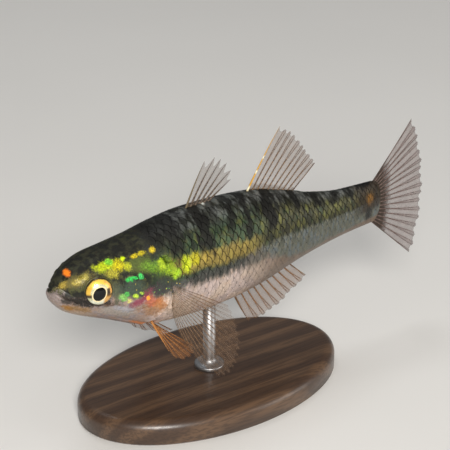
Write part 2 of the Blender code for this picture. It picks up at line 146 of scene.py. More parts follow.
def grid_faces(rows: int, columns: int, around: bool = False) -> Array:
    """Quads of a grid of points stored row by row, joined round its columns if asked.

    Args:
        rows: Number of rows of points.
        columns: Number of points in a row.
        around: Whether the last column joins the first.

    Returns:
        An array of four indices a face.
    """
    i = np.arange(rows - 1)[:, None]
    j = np.arange(columns if around else columns - 1)[None]
    k = (j + 1) % columns
    quads = np.stack([i * columns + j, i * columns + k, (i + 1) * columns + k, (i + 1) * columns + j], -1)
    return quads.reshape(-1, 4)


def border_of(rows: int, columns: int) -> Array:
    """Indices round the border of a grid of points, in order."""
    grid = np.arange(rows * columns).reshape(rows, columns)
    return np.concatenate([grid[0, :-1], grid[:-1, -1], grid[-1, :0:-1], grid[:0:-1, 0]])


def fan_faces(ring: Array, centre: int) -> Array:
    """Triangles from each stretch of a closed ring of points to a centre."""
    return np.stack([np.roll(ring, -1), ring, np.full(len(ring), centre)], 1)


def make_piece(
    name: str,
    points: Array,
    faces: Sequence[Sequence[int]],
    finish: Sequence[bpy.types.Material],
    attributes: Mapping[str, Array] | None = None,
    uv: Array | None = None,
    picks: Array | None = None,
) -> bpy.types.Object:
    """Makes a finished piece whose object sits at the origin, with its place in its mesh.

    Args:
        name: The piece's name.
        points: Its points in the fish's millimetres.
        faces: Its faces, outwards.
        finish: Its materials.
        attributes: Vectors at its points, by name, for the materials.
        uv: A place on the bake's map for each point.
        picks: The index of each face's material.

    Returns:
        The object.
    """
    mesh = bpy.data.meshes.new(name)
    world = (np.asarray(points).reshape(-1, 3) + [-ROD_AT, 0, AXIS_HEIGHT]) * MM
    mesh.from_pydata(world.tolist(), [], faces)
    mesh.shade_smooth()
    for material in finish:
        mesh.materials.append(material)
    if picks is not None:
        mesh.polygons.foreach_set("material_index", np.asarray(picks, np.int32))
    for key, values in (attributes or {}).items():
        layer = mesh.attributes.new(key, "FLOAT_VECTOR", "POINT")
        layer.data.foreach_set("vector", np.asarray(values, np.float32).reshape(-1))
    if uv is not None:
        corners = np.zeros(len(mesh.loops), np.int32)
        mesh.loops.foreach_get("vertex_index", corners)
        layer = mesh.uv_layers.new(name="OFBake")
        layer.data.foreach_set("uv", np.asarray(uv, np.float32)[corners].reshape(-1))
    mesh.update()
    item = bpy.data.objects.new(name, mesh)
    bpy.context.scene.collection.objects.link(item)
    return item


def settle(item: bpy.types.Object, nodes: Sequence[str]) -> None:
    """Lets a piece ride on the model's one body and stand for some nodes."""
    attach(item, BODY)
    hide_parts(*nodes)
    LOG.info("%s: %d faces, stands for %s", item.name, len(item.data.polygons), ", ".join(nodes) or "no node")


# Materials


class Wire:
    """A value on its way through a material's nodes, with the operators of ordinary sums."""

    def __init__(self, net: "Net", socket: bpy.types.NodeSocket) -> None:
        """Wraps an output socket of a node."""
        self.net = net
        self.socket = socket

    def _sum(self, operation: str, *terms: "Wire | float") -> "Wire":
        """Adds a Math node for one operation on some terms."""
        node = self.net.node("ShaderNodeMath", {"operation": operation}, dict(enumerate(terms)))
        return Wire(self.net, node.outputs[0])

    def __add__(self, other: "Wire | float") -> "Wire":
        """self + other."""
        return self._sum("ADD", self, other)

    def __radd__(self, other: float) -> "Wire":
        """other + self."""
        return self._sum("ADD", other, self)

    def __sub__(self, other: "Wire | float") -> "Wire":
        """self - other."""
        return self._sum("SUBTRACT", self, other)

    def __rsub__(self, other: float) -> "Wire":
        """other - self."""
        return self._sum("SUBTRACT", other, self)

    def __mul__(self, other: "Wire | float") -> "Wire":
        """self * other."""
        return self._sum("MULTIPLY", self, other)

    def __rmul__(self, other: float) -> "Wire":
        """other * self."""
        return self._sum("MULTIPLY", other, self)

    def __truediv__(self, other: "Wire | float") -> "Wire":
        """self / other."""
        return self._sum("DIVIDE", self, other)

    def __pow__(self, other: float) -> "Wire":
        """self to the power of other."""
        return self._sum("POWER", self, other)

    def __abs__(self) -> "Wire":
        """The size of the value without its sign."""
        return self._sum("ABSOLUTE", self)

    def most(self, other: "Wire | float") -> "Wire":
        """The greater of two values."""
        return self._sum("MAXIMUM", self, other)

    def wave(self) -> "Wire":
        """The sine of the value."""
        return self._sum("SINE", self)

    def rise(self, low: float, high: float) -> "Wire":
        """A smooth step from 0 at low to 1 at high."""
        settings = {"interpolation_type": "SMOOTHSTEP"}
        node = self.net.node("ShaderNodeMapRange", settings, {0: self, 1: low, 2: high})
        return Wire(self.net, node.outputs[0])

    def fall(self, low: float, high: float) -> "Wire":
        """A smooth step from 1 at low to 0 at high."""
        return 1 - self.rise(low, high)

    def near(self, centre: "Wire | float", half: float, soft: float) -> "Wire":
        """1 within half of a centre, and 0 past a soft edge."""
        return abs(self - centre).fall(half - soft, half + soft)

    def swing(self, amount: float) -> "Wire":
        """A cloudy value's swing round its middle of 0.5, times an amount."""
        return (self - 0.5) * amount


class Net:
    """The node tree of one material, built up by expressions."""

    def __init__(self, name: str) -> None:
        """Starts a material that holds only its output."""
        self.material = bpy.data.materials.new(name)
        self.material.use_nodes = True
        self.tree = self.material.node_tree
        self.tree.nodes.clear()
        self.output = self.tree.nodes.new("ShaderNodeOutputMaterial")

    def node(
        self, kind: str, settings: Mapping[str, object], sockets: Mapping[int | str, object]
    ) -> bpy.types.Node:
        """Adds a node.

        Args:
            kind: Its type.
            settings: Its own settings, which are set first.
            sockets: Values or wires for its inputs, by name or number.

        Returns:
            The node.
        """
        node = self.tree.nodes.new(kind)
        for key, value in settings.items():
            setattr(node, key, value)
        for key, value in sockets.items():
            if isinstance(value, Wire):
                self.tree.links.new(value.socket, node.inputs[key])
            elif isinstance(value, tuple) and node.inputs[key].type == "RGBA":
                node.inputs[key].default_value = (*value, 1.0)
            else:
                node.inputs[key].default_value = value
        return node

    def parts(self, attribute: str) -> tuple[Wire, Wire, Wire]:
        """The three numbers of a piece's own attribute."""
        read = self.node("ShaderNodeAttribute", {"attribute_name": attribute}, {})
        return self.split(Wire(self, read.outputs["Vector"]))

    def split(self, place: Wire) -> tuple[Wire, Wire, Wire]:
        """The three numbers of a place."""
        node = self.node("ShaderNodeSeparateXYZ", {}, {0: place})
        return tuple(Wire(self, output) for output in node.outputs)

    def millimetres(self, stretch: Colour = (1.0, 1.0, 1.0)) -> Wire:
        """Object coordinates in millimetres, stretched along the axes."""
        read = Wire(self, self.node("ShaderNodeTexCoord", {}, {}).outputs["Object"])
        node = self.node("ShaderNodeVectorMath", {"operation": "MULTIPLY"}, {0: read})
        node.inputs[1].default_value = tuple(share / MM for share in stretch)
        return Wire(self, node.outputs[0])

    def noise(self, place: Wire, per_mm: float, detail: float = 2.0, shift: float = 0.0) -> Wire:
        """A cloudy value round 0.5 with a number of lumps a millimetre; a shift gives another pattern."""
        moved = self.node("ShaderNodeVectorMath", {"operation": "ADD"}, {0: place})
        moved.inputs[1].default_value = (shift, shift * 1.7, -shift)
        sockets = {"Vector": Wire(self, moved.outputs[0]), "Scale": per_mm, "Detail": detail}
        node = self.node("ShaderNodeTexNoise", {"noise_dimensions": "3D"}, sockets)
        return Wire(self, node.outputs[0])

    def cells(self, place: Wire, per_mm: float) -> tuple[Wire, Wire]:
        """Distance to the nearest of scattered points, and that point's random number."""
        node = self.node("ShaderNodeTexVoronoi", {}, {"Vector": place, "Scale": per_mm})
        split = self.node("ShaderNodeSeparateColor", {}, {0: Wire(self, node.outputs["Color"])})
        return Wire(self, node.outputs["Distance"]), Wire(self, split.outputs[0])

    def mix(self, share: Wire | float, first: Wire | Colour, second: Wire | Colour) -> Wire:
        """Blends two colours."""
        node = self.node("ShaderNodeMix", {"data_type": "RGBA"}, {0: share, 6: first, 7: second})
        return Wire(self, node.outputs[2])

    def lit(self, colour: Wire | Colour, value: Wire | float) -> Wire:
        """A colour made brighter or darker by a factor."""
        node = self.node("ShaderNodeHueSaturation", {}, {"Value": value, "Color": colour})
        return Wire(self, node.outputs[0])

    def bump(self, height: Wire, depth: float, strength: float) -> Wire:
        """A relief of the given depth in millimetres."""
        sockets = {"Height": height, "Distance": depth * MM, "Strength": strength}
        return Wire(self, self.node("ShaderNodeBump", {}, sockets).outputs[0])

    def surface(self, sockets: Mapping[str, object]) -> bpy.types.Material:
        """Ends the material in one Principled surface and returns it."""
        shader = self.node("ShaderNodeBsdfPrincipled", {}, sockets)
        self.tree.links.new(shader.outputs[0], self.output.inputs[0])
        return self.material


@dataclass(frozen=True)
class Mark:
    """A spot of colour on the body, an oval over distance from the snout and turn.

    It is on both sides, or on the left one only where the photo shows a single spot near the ridge.
    """

    x: float
    turn: float
    reach: float
    span: float
    colour: Colour
    strength: float = 1.0
    lean: float = 0.0
    metal: float = 0.0
    ragged: float = 1.0
    left_only: bool = False


@dataclass(frozen=True)
class Bar:
    """A dark bar down from the back: its place at the ridge and at its low end, and its half width."""

    top: float
    low: float
    turn: float
    half: float
    strength: float = 1.0


BARS = (
    Bar(16.2, 15.6, 0.70, 0.9, 0.6),
    Bar(19.8, 18.9, 1.02, 1.0, 0.9),
    Bar(22.0, 21.6, 0.75, 0.45, 0.5),
    Bar(24.7, 23.8, 1.16, 1.15),
    Bar(27.6, 26.6, 0.80, 0.5, 0.6),
    Bar(30.6, 28.7, 0.94, 0.65, 0.9),
    Bar(33.3, 31.9, 1.16, 0.65, 0.95),
    Bar(35.4, 34.4, 0.85, 0.4, 0.6),
    Bar(37.9, 36.8, 1.18, 1.05),
    Bar(40.6, 40.0, 0.85, 0.4, 0.6),
    Bar(43.2, 43.1, 0.90, 0.75),
    Bar(47.2, 48.1, 0.85, 0.75),
    Bar(51.9, 51.1, 0.95, 0.5, 0.9),
    Bar(54.8, 54.4, 0.85, 0.55, 0.9),
)

MARKS = (
    # The snout, the jaws and the cheek
    Mark(2.9, 0.90, 2.7, 0.28, (0.130, 0.105, 0.023), 0.95),
    Mark(1.2, 0.86, 0.60, 0.22, (0.33, 0.24, 0.035), 0.9, metal=0.2),
    Mark(3.0, 0.94, 0.70, 0.14, (0.33, 0.26, 0.035), 0.8, metal=0.2),
    Mark(4.2, 0.86, 0.70, 0.13, (0.31, 0.26, 0.040), 0.8, metal=0.2),
    Mark(2.40, 0.27, 0.42, 0.31, (1.0, 0.24, 0.015), 1.0, ragged=0.45, left_only=True),
    Mark(0.2, 1.90, 1.15, 1.00, (0.255, 0.205, 0.188), 1.0),
    Mark(3.2, 2.50, 2.4, 0.70, (0.31, 0.225, 0.16), 0.9),
    Mark(5.2, 1.69, 3.0, 0.22, (0.022, 0.016, 0.011), 1.0, lean=0.03),
    Mark(3.1, 1.72, 2.0, 0.27, (0.018, 0.014, 0.011), 1.0, lean=0.05),
    Mark(1.9, 2.15, 0.95, 0.26, (0.27, 0.13, 0.025), 0.95),
    Mark(3.6, 2.12, 1.6, 0.16, (0.22, 0.12, 0.035), 0.75),
    Mark(1.5, 1.70, 0.60, 0.24, (0.046, 0.038, 0.032), 0.95),
    Mark(7.6, 1.83, 1.8, 0.07, (0.090, 0.050, 0.030), 0.8),
    Mark(8.4, 1.48, 1.0, 0.30, (0.090, 0.100, 0.060), 0.8),
    Mark(8.6, 2.07, 3.0, 0.22, (0.285, 0.255, 0.225), 0.9),
    Mark(9.6, 1.94, 1.5, 0.12, (0.34, 0.35, 0.40), 0.6),
    Mark(14.2, 1.86, 2.6, 0.30, (0.265, 0.135, 0.060), 0.85),
    Mark(13.8, 1.68, 1.6, 0.12, (0.42, 0.11, 0.060), 0.80),
    Mark(15.2, 1.76, 1.2, 0.15, (0.42, 0.165, 0.045), 0.65),
    Mark(13.2, 2.55, 2.4, 0.13, (0.42, 0.13, 0.028), 0.8),
    Mark(10.8, 1.38, 2.3, 0.20, (0.052, 0.074, 0.053), 0.95),
    Mark(14.6, 1.42, 2.0, 0.14, (0.040, 0.042, 0.040), 0.8),
    # The bright patches behind the eye
    Mark(12.4, 0.86, 2.4, 0.20, (0.10, 0.13, 0.030), 0.8),
    Mark(8.2, 0.96, 0.95, 0.15, (0.40, 0.36, 0.035), 0.85, metal=0.15),
    Mark(7.7, 0.68, 1.9, 0.17, (0.42, 0.50, 0.012), 1.0, metal=0.15),
    Mark(9.4, 0.76, 0.95, 0.19, (0.52, 0.45, 0.010), 0.95, metal=0.15),
    Mark(8.3, 0.60, 0.70, 0.11, (0.22, 0.62, 0.045), 0.9, metal=0.15),
    Mark(10.5, 0.62, 0.42, 0.07, (0.58, 0.76, 0.010), 1.0, metal=0.15),
    Mark(10.8, 0.86, 0.65, 0.12, (0.46, 0.48, 0.020), 0.85, metal=0.15),
    Mark(12.2, 0.65, 0.60, 0.06, (0.60, 0.47, 0.015), 0.95, metal=0.15),
    Mark(13.4, 0.63, 0.75, 0.06, (0.56, 0.46, 0.020), 0.9, metal=0.15),
    Mark(15.2, 0.64, 0.55, 0.08, (0.62, 0.47, 0.020), 0.9, metal=0.15),
    Mark(10.5, 1.19, 0.62, 0.060, (0.035, 0.50, 0.080), 1.0, metal=0.2),
    Mark(11.4, 1.16, 0.40, 0.040, (0.035, 0.46, 0.080), 1.0, metal=0.2),
    Mark(12.3, 1.15, 0.42, 0.065, (0.060, 0.56, 0.12), 1.0, metal=0.2),
    Mark(9.3, 1.60, 0.75, 0.08, (0.20, 0.46, 0.11), 0.95, metal=0.15),
    Mark(9.9, 1.52, 0.45, 0.05, (0.10, 0.50, 0.10), 0.9, metal=0.15),
    Mark(10.2, 1.68, 0.45, 0.07, (0.66, 0.60, 0.18), 0.95, metal=0.15),
    Mark(11.2, 1.56, 0.50, 0.04, (0.46, 0.66, 0.05), 1.0, metal=0.2),
    Mark(12.2, 1.50, 0.35, 0.03, (0.40, 0.60, 0.07), 0.9, metal=0.2),
    Mark(12.1, 1.65, 1.9, 0.125, (0.225, 0.040, 0.072), 0.88, lean=-0.11),
    Mark(13.1, 1.60, 0.34, 0.050, (1.0, 0.34, 0.035), 1.0, ragged=0.3),
    # The lime and yellow scales at the shoulder
    Mark(14.4, 0.97, 1.7, 0.15, (0.12, 0.235, 0.018), 0.9, metal=0.15),
    Mark(16.3, 1.04, 1.7, 0.20, (0.15, 0.24, 0.018), 0.95, metal=0.15),
    Mark(15.9, 1.00, 0.60, 0.12, (0.34, 0.46, 0.018), 0.9, metal=0.2),
    Mark(17.2, 1.14, 0.90, 0.13, (0.31, 0.46, 0.018), 0.95, metal=0.2),
    Mark(18.0, 1.27, 0.80, 0.11, (0.42, 0.66, 0.025), 1.0, metal=0.2),
    Mark(20.0, 1.18, 0.95, 0.16, (0.58, 0.68, 0.018), 1.0, metal=0.2),
    Mark(21.5, 1.16, 0.90, 0.13, (0.52, 0.46, 0.020), 0.95, metal=0.2),
    Mark(23.4, 1.20, 0.80, 0.12, (0.36, 0.26, 0.045), 0.6, metal=0.2),
    # The root of the tail fin
    Mark(59.3, 1.25, 0.9, 0.30, (0.26, 0.12, 0.018), 0.7),
    Mark(59.1, 1.95, 1.0, 0.32, (0.018, 0.018, 0.016), 0.95),
    Mark(58.4, 0.00, 1.9, 0.62, (0.010, 0.009, 0.009), 0.95),
    # A painted highlight: a white glint on the ridge behind the front dorsal fin's third ray
    Mark(26.8, 0.0, 0.30, 0.10, (0.78, 0.78, 0.70), 1.0, ragged=0.3),
)


class Markings:
    """Lays the fish's colours over a piece that has the attribute "place": distance, turn and height."""

    belly: Colour = (0.58, 0.455, 0.370)
    lavender: Colour = (0.50, 0.41, 0.41)
    peach: Colour = (0.60, 0.40, 0.28)
    # Darker rear belly: partly its own colour, partly painted shade.
    rear_belly_tone_and_shade: Colour = (0.160, 0.112, 0.078)
    silver: Colour = (0.128, 0.138, 0.108)
    steel_blue: Colour = (0.115, 0.145, 0.165)
    straw: Colour = (0.20, 0.165, 0.105)
    slate: Colour = (0.052, 0.054, 0.046)
    sage: Colour = (0.035, 0.060, 0.026)
    olive: Colour = (0.036, 0.036, 0.015)
    moss: Colour = (0.085, 0.083, 0.024)
    fern: Colour = (0.032, 0.064, 0.034)
    brass: Colour = (0.120, 0.110, 0.045)
    gold: Colour = (0.290, 0.212, 0.052)
    umber: Colour = (0.080, 0.060, 0.020)
    charcoal: Colour = (0.022, 0.022, 0.016)
    # Grey of the sheen painted over the dark back.
    painted_sheen: Colour = (0.155, 0.160, 0.154)
    soot: Colour = (0.012, 0.0115, 0.0095)
    tail_brown: Colour = (0.029, 0.016, 0.007)
    cheek_pink: Colour = (0.285, 0.205, 0.165)
    cheek_grey: Colour = (0.245, 0.205, 0.200)
    head_dark: Colour = (0.016, 0.017, 0.012)
    head_olive: Colour = (0.070, 0.072, 0.026)
    crown_dark: Colour = (0.013, 0.013, 0.010)
    crown_olive: Colour = (0.036, 0.036, 0.022)
    spark_gold: Colour = (0.70, 0.52, 0.055)
    spark_green: Colour = (0.22, 0.62, 0.10)
    freckle: Colour = (0.17, 0.15, 0.18)
    short_mark: float = 1.2

    def __init__(self, net: Net, shift: "Wire | float" = 0.0) -> None:
        """Starts from the belly's colour.

        Args:
            net: The material that is painted.
            shift: Millimetres by which the pattern is moved, which may be a number for each scale.
        """
        self.net = net
        self.place = net.millimetres()
        self.clouds = net.noise(self.place, 0.33, 2.0)
        self.lumps = net.noise(self.place, 1.1, 3.0, 7.0)
        self.grain = net.noise(self.place, 5.0, 3.0, 3.0)
        self.mottle = net.noise(self.place, 2.7, 2.0, 5.0)
        self.streaks = net.noise(net.millimetres((1.0, 0.26, 0.26)), 1.7, 3.0, 9.0)
        self.gaps, self.grit = net.cells(self.place, 5.5)
        x, turn, _ = net.parts("place")
        self.true_x = x
        self.true_turn = turn
        self.x = x + shift + self.lumps.swing(1.5) + self.grain.swing(0.4)
        self.near_x = x + self.lumps.swing(0.5) + self.grain.swing(0.3)
        self.turn = turn + self.clouds.swing(0.22) + self.lumps.swing(0.20)
        self.near_turn = turn + self.lumps.swing(0.08)
        self.colour: Wire | Colour = self.belly
        self.metal: Wire | float = 0.0
        self.dark: Wire | float = 0.0

    def lay(self, mask: Wire, colour: Wire | Colour, metal: float = 0.0) -> None:
        """Covers what is there with a colour where the mask is 1, metallic by the given share."""
        self.colour = self.net.mix(mask, self.colour, colour)
        if metal:
            self.metal = (mask * metal).most(self.metal)

    def lay_belly(self) -> None:
        """Pink and lavender clouds over the cream belly, and a darker rear belly that is partly its own
        colour and partly painted shade.
        """
        self.lay(self.clouds.rise(0.40, 0.62) * 0.55, self.lavender)
        self.lay(self.lumps.rise(0.52, 0.70) * 0.4, self.peach)
        # The rear belly darkens: partly its own browner colour, partly painted shade where light falls off
        # towards the anal fin.
        self.lay(self.x.rise(27.0, 40.0), self.rear_belly_tone_and_shade)

    def lay_flank(self) -> None:
        """The long bands: silver lower flank, slate stripe, sage upper flank and gold stripe."""
        x, turn, streaks = self.x, self.turn, self.streaks
        tail = self.true_x.rise(34.0, 47.0)
        lower = (turn - tail * 0.62).fall(1.50, 1.72) * x.rise(29.0, 37.0)
        self.lay(lower, self.silver, 0.3)
        self.lay(lower * streaks.rise(0.47, 0.60) * 0.65, self.steel_blue, 0.3)
        self.lay(lower * self.mottle.rise(0.50, 0.66) * 0.50, self.straw, 0.3)
        self.lay((turn + streaks.swing(0.20)).fall(1.50, 1.70) * x.fall(30.0, 37.0), self.slate)
        upper = turn.fall(1.34, 1.48)
        self.lay(upper, self.net.mix(x.rise(31.0, 38.0), self.sage, self.olive), 0.2)
        self.lay(upper * self.lumps.rise(0.50, 0.66) * 0.55, self.moss, 0.15)
        self.lay(upper * self.lumps.fall(0.34, 0.46) * 0.5, self.fern, 0.15)
        self.lay(upper * streaks.fall(0.38, 0.50) * 0.62, self.charcoal)
        self.lay(upper * streaks.rise(0.55, 0.66) * self.true_x.rise(34.0, 38.0) * 0.5, self.brass, 0.2)
        band = (turn - (self.true_x - 22.0) * 0.008).near(1.21, 0.14, 0.07)
        band = band * x.rise(17.0, 19.0) * x.fall(30.5, 36.0)
        self.lay(band * 0.9, self.gold, 0.35)
        self.lay(band * streaks.fall(0.34, 0.44) * 0.45, self.umber)

    def lay_back(self) -> None:
        """The dark back with a grey sheen painted over it in streaks, and the bars down from it."""
        turn = self.turn
        front = self.x.fall(15.0, 24.0)
        shade = (turn - front * 0.24).fall(0.30, 0.86)
        # Painted sheen: grey streaks over the dark back, fainter towards the head.
        sheen_streaks = (self.clouds * 0.6 + self.streaks * 0.4).rise(0.40, 0.60) * (1 - front * 0.75)
        self.lay(shade * 0.9, self.net.mix(sheen_streaks, self.charcoal, self.painted_sheen))
        self.lay(turn.fall(0.30, 0.62) * front * 0.88, self.soot)
        self.lay(self.x.rise(54.0, 58.5) * turn.fall(1.6, 2.0) * 0.85, self.tail_brown)
        ragged = self.streaks.swing(2.2)
        for bar in BARS:
            middle = self.true_turn * ((bar.low - bar.top) / bar.turn) + bar.top
            strip = (abs(self.x - middle) / (bar.half + 0.12) + ragged).fall(0.55, 1.45)
            strip = strip * (turn + ragged * 0.06).fall(bar.turn - 0.16, bar.turn + 0.10)
            self.lay(strip * bar.strength * 0.94, self.soot)
            self.dark = strip.most(self.dark)
        self.dark = self.dark.most(shade)

    def lay_head(self) -> None:
        """The head's ground colours, dark mottled olive above and pale below."""
        head = self.x.fall(12.5, 16.0)
        patches = self.lumps.rise(0.42, 0.60)
        pale = self.net.mix(patches, self.cheek_pink, self.cheek_grey)
        self.lay(head * self.turn.rise(1.40, 1.60), pale)
        olive = self.net.mix(patches, self.head_dark, self.head_olive)
        self.lay(head * self.turn.fall(1.48, 1.66), olive)
        crown = self.net.mix(self.lumps.rise(0.40, 0.70), self.crown_dark, self.crown_olive)
        self.lay(head * self.turn.fall(0.50, 0.80) * 0.9, crown)

    def lay_marks(self, marks: Sequence[Mark]) -> None:
        """Soft ovals, hypot(dx / reach, dturn / span) < 1, whose edges scatter into fine grains."""
        scatter = self.grain.swing(1.1) + self.mottle.swing(0.8) + self.streaks.swing(1.0)
        glitter = self.grit * 0.80 + 0.62
        right_side = self.net.split(self.place)[1].rise(-0.10, 0.15)
        for mark in marks:
            long = mark.reach > self.short_mark
            along = ((self.x if long else self.near_x) - mark.x) / mark.reach
            turn = self.turn if long else self.near_turn
            if mark.lean:
                turn = turn - (self.true_x - mark.x) * mark.lean
            around = (turn - mark.turn) / mark.span
            far = (along ** 2.0 + around ** 2.0) ** 0.5 + scatter * mark.ragged
            if mark.left_only:
                far = far + right_side * 3.0
            colour = self.net.lit(mark.colour, glitter) if mark.metal else mark.colour
            self.lay(far.fall(0.45, 1.30) * mark.strength, colour, mark.metal)

    def sparkle(self) -> None:
        """Scattered gold and green grains along the lower edge of the bright shoulder."""
        distance, pick = self.net.cells(self.place, 2.6)
        dots = distance.fall(0.10, 0.24) * pick.rise(0.62, 0.66)
        zone = self.turn.near(1.36, 0.22, 0.10) * self.true_x.rise(9.0, 11.0) * self.true_x.fall(18.5, 22.0)
        colour = self.net.mix(pick.rise(0.78, 0.82), self.spark_gold, self.spark_green)
        self.lay(dots * zone, colour, 0.3)

    def speckle(self) -> None:
        """Fine slate dots over the pale cheek and throat."""
        distance, pick = self.net.cells(self.place, 4.2)
        dots = distance.fall(0.16, 0.36) * pick.rise(0.30, 0.5)
        throat = self.true_x.fall(14.0, 17.0) * self.true_x.rise(2.5, 5.0)
        self.lay(dots * self.true_turn.rise(1.62, 1.80) * throat * 0.55, self.freckle)

    def paint(self) -> None:
        """All markings, from the ground up."""
        self.lay_belly()
        self.lay_flank()
        self.lay_back()
        self.lay_head()
        self.lay_marks(MARKS)
        self.sparkle()
        self.speckle()


class SkinFinish:
    """Wet skin without scales: the head, and what shows between the scales."""

    def make(self) -> bpy.types.Material:
        """Builds the material."""
        net = Net("wet_skin")
        marks = Markings(net)
        marks.paint()
        relief = net.bump(marks.gaps + marks.grain * 1.2 + marks.lumps, 0.05, 0.5)
        return net.surface({
            "Base Color": net.lit(marks.colour, marks.mottle * 0.9 + 0.55),
            "Metallic": marks.metal,
            "Roughness": marks.grain * 0.24 + 0.28 + marks.dark * 0.20,
            "Specular IOR Level": 0.24,
            "Coat Weight": 0.09 - marks.dark * 0.07,
            "Coat Roughness": 0.12,
            "Subsurface Weight": 0.12,
            "Subsurface Radius": (1.0, 0.45, 0.3),
            "Subsurface Scale": 0.0006,
            "Normal": relief,
        })


class ScaleFinish:
    """Scales: the body's own markings, a dark rim round each, fine streaks, a tone of its own for each, a
    painted highlight in the middle of each and painted glints on some.
    """

    # Colour of the painted glints on some scales.
    glint: Colour = (0.20, 0.20, 0.034)
    line: Colour = (0.010, 0.009, 0.008)

    def make(self) -> bpy.types.Material:
        """Builds the material, which also reads "plate": distance from the rim, height share and number."""
        net = Net("wet_scales")
        rim, across, number = net.parts("plate")
        marks = Markings(net, number.swing(0.7))
        marks.paint()
        x, turn = marks.true_x, marks.turn
        flank = turn.near(1.08, 0.28, 0.18) * x.rise(16.0, 21.0)
        edge = rim + marks.grain.swing(0.16)
        # Painted highlight: the middle of each scale is painted lighter than its rim, and number adds each
        # scale's own random tone.
        middle_highlight = edge.rise(0.10, 0.40) * edge.fall(0.66, 1.10)
        light = middle_highlight * (flank * 0.13 + 0.06) + number * (flank * 0.20 + 0.14)
        calm = marks.true_turn.rise(1.45, 1.62) * 0.5
        grit = marks.streaks.swing(1.2) + marks.mottle.swing(1.0) + marks.grain.swing(0.8)
        tone = net.lit(marks.colour, (light + grit * (1 - calm) + 0.69).most(0.25))
        # Painted glints: yellow highlights painted in the middles of some scales on the upper flank, fading
        # on the dark bars and towards the tail.
        glint = middle_highlight * number.rise(0.66, 0.90) * turn.near(0.98, 0.34, 0.16) * (marks.grit * 0.6 + 0.4)
        tone = net.mix(glint * (1 - marks.dark) * x.fall(50.0, 55.0) * 0.5, tone, self.glint)
        line = edge.fall(0.04, 0.20) * (1 - abs(across).rise(0.35, 0.85) * 0.9)
        broken = (marks.lumps + marks.mottle * 0.6 + marks.streaks * 0.4).rise(0.88, 1.14)
        tone = net.mix(line * (broken * 0.66 + 0.05) * (flank * 0.72 + 0.07), tone, self.line)
        ridges = (rim * 46.0).wave() * 0.25 + marks.grain + marks.streaks
        return net.surface({
            "Base Color": tone,
            "Metallic": marks.metal,
            "Roughness": marks.grain * 0.20 + 0.28 + marks.dark * 0.22,
            "Specular IOR Level": 0.24,
            "Coat Weight": 0.10 - marks.dark * 0.08,
            "Coat Roughness": 0.10,
            "Normal": net.bump(ridges, 0.03, 0.5),
        })


@dataclass(frozen=True)
class EyeFinish:
    """A wet eyeball: black pupil, cream ring, and an iris of gold, silver and brown."""

    pupil_half: tuple[float, float] = (0.88, 1.08)
    pupil_ahead: float = 0.20
    pupil_tilt: float = 0.62
    amber: Colour = (0.72, 0.36, 0.070)
    gap: Colour = (0.035, 0.025, 0.018)
    rear: Colour = (0.045, 0.030, 0.020)
    crescent: Colour = (0.80, 0.42, 0.10)
    rim: Colour = (0.040, 0.028, 0.018)
    cream: Colour = (0.90, 0.76, 0.46)
    black: Colour = (0.002, 0.002, 0.003)

    def make(self) -> bpy.types.Material:
        """Builds the material, which reads "iris": millimetres behind and above a point near the pupil."""
        net = Net("wet_eye")
        p, q, _ = net.parts("iris")
        place = net.millimetres()
        grain = net.noise(place, 3.2, 3.0)
        fine = net.noise(place, 9.0, 2.0, 5.0)
        cosine, sine = math.cos(self.pupil_tilt), math.sin(self.pupil_tilt)
        ahead = p + self.pupil_ahead
        long = ahead * sine + q * cosine
        short = ahead * cosine - q * sine
        across = (short / self.pupil_half[0]) ** 2.0 + (long / self.pupil_half[1]) ** 2.0
        ring = across ** 0.5 + grain.swing(0.10)
        far = ((p + 0.10) ** 2.0 + (q - 0.14) ** 2.0) ** 0.5 + grain.swing(0.20)
        fleck = fine.rise(0.4, 0.6)
        colour = net.mix(grain.rise(0.35, 0.65), (0.22, 0.12, 0.040), (0.060, 0.040, 0.025))
        pale = net.mix(fleck, (0.62, 0.66, 0.52), (0.86, 0.84, 0.66))
        silver = net.mix(fleck, (0.50, 0.51, 0.30), (0.70, 0.67, 0.42))
        gold = net.mix(q.rise(0.9, 1.5), (0.85, 0.52, 0.075), (0.92, 0.64, 0.10))
        crown = (q * 0.80 - p * 0.60).rise(-0.35, -0.05) * q.rise(-0.45, -0.10)
        layers = (
            ((q + grain.swing(0.5)).fall(-0.95, -0.60), pale),
            (p.rise(0.15, 0.65) * q.fall(-0.35, 0.0) * 0.85, self.amber),
            ((q * 0.85 - p * 0.50 + grain.swing(0.4)).rise(-0.10, 0.20), silver),
            (crown * far.rise(1.25, 1.50), gold),
            (p.fall(-0.97, -0.72) * q.near(-0.24, 0.26, 0.22), self.gap),
            (p.rise(0.78, 1.03) * q.near(-0.10, 0.50, 0.22) * 0.9, self.rear),
            (far.near(1.72, 0.13, 0.08) * p.rise(0.5, 0.9) * q.rise(-0.5, -0.1), self.crescent),
            (far.rise(1.86, 2.02), self.rim),
            (ring.fall(1.16, 1.26), self.cream),
            (ring.fall(0.99, 1.06), self.black),
        )
        for mask, tone in layers:
            colour = net.mix(mask, colour, tone)
        return net.surface({
            "Base Color": colour,
            "Roughness": grain * 0.1 + 0.25,
            "Metallic": ring.rise(1.0, 1.1) * 0.25,
            "Specular IOR Level": 0.1,
            "Coat Weight": 0.5,
            "Coat Roughness": 0.02,
            "Normal": net.bump(fine + grain, 0.03, 0.3),
        })


@dataclass(frozen=True)
class FinTone:
    """Colours of one fin: its rays, the pale bands along them, its first ray, its membrane and its root.

    The membrane has the root's colour up to sheath_ends, as strongly as sheath says. The rays of a fin with
    faint above 0 fade into that colour towards the body.
    """

    ray: Colour
    band: Colour
    lead: Colour
    web: Colour
    clear: float
    # Strength of the painted white glints on the first ray.
    glint: float = 0.0
    root: Colour = (0.10, 0.085, 0.050)
    sheath: float = 0.5
    sheath_ends: tuple[float, float] = (0.04, 0.20)
    faint: float = 0.0


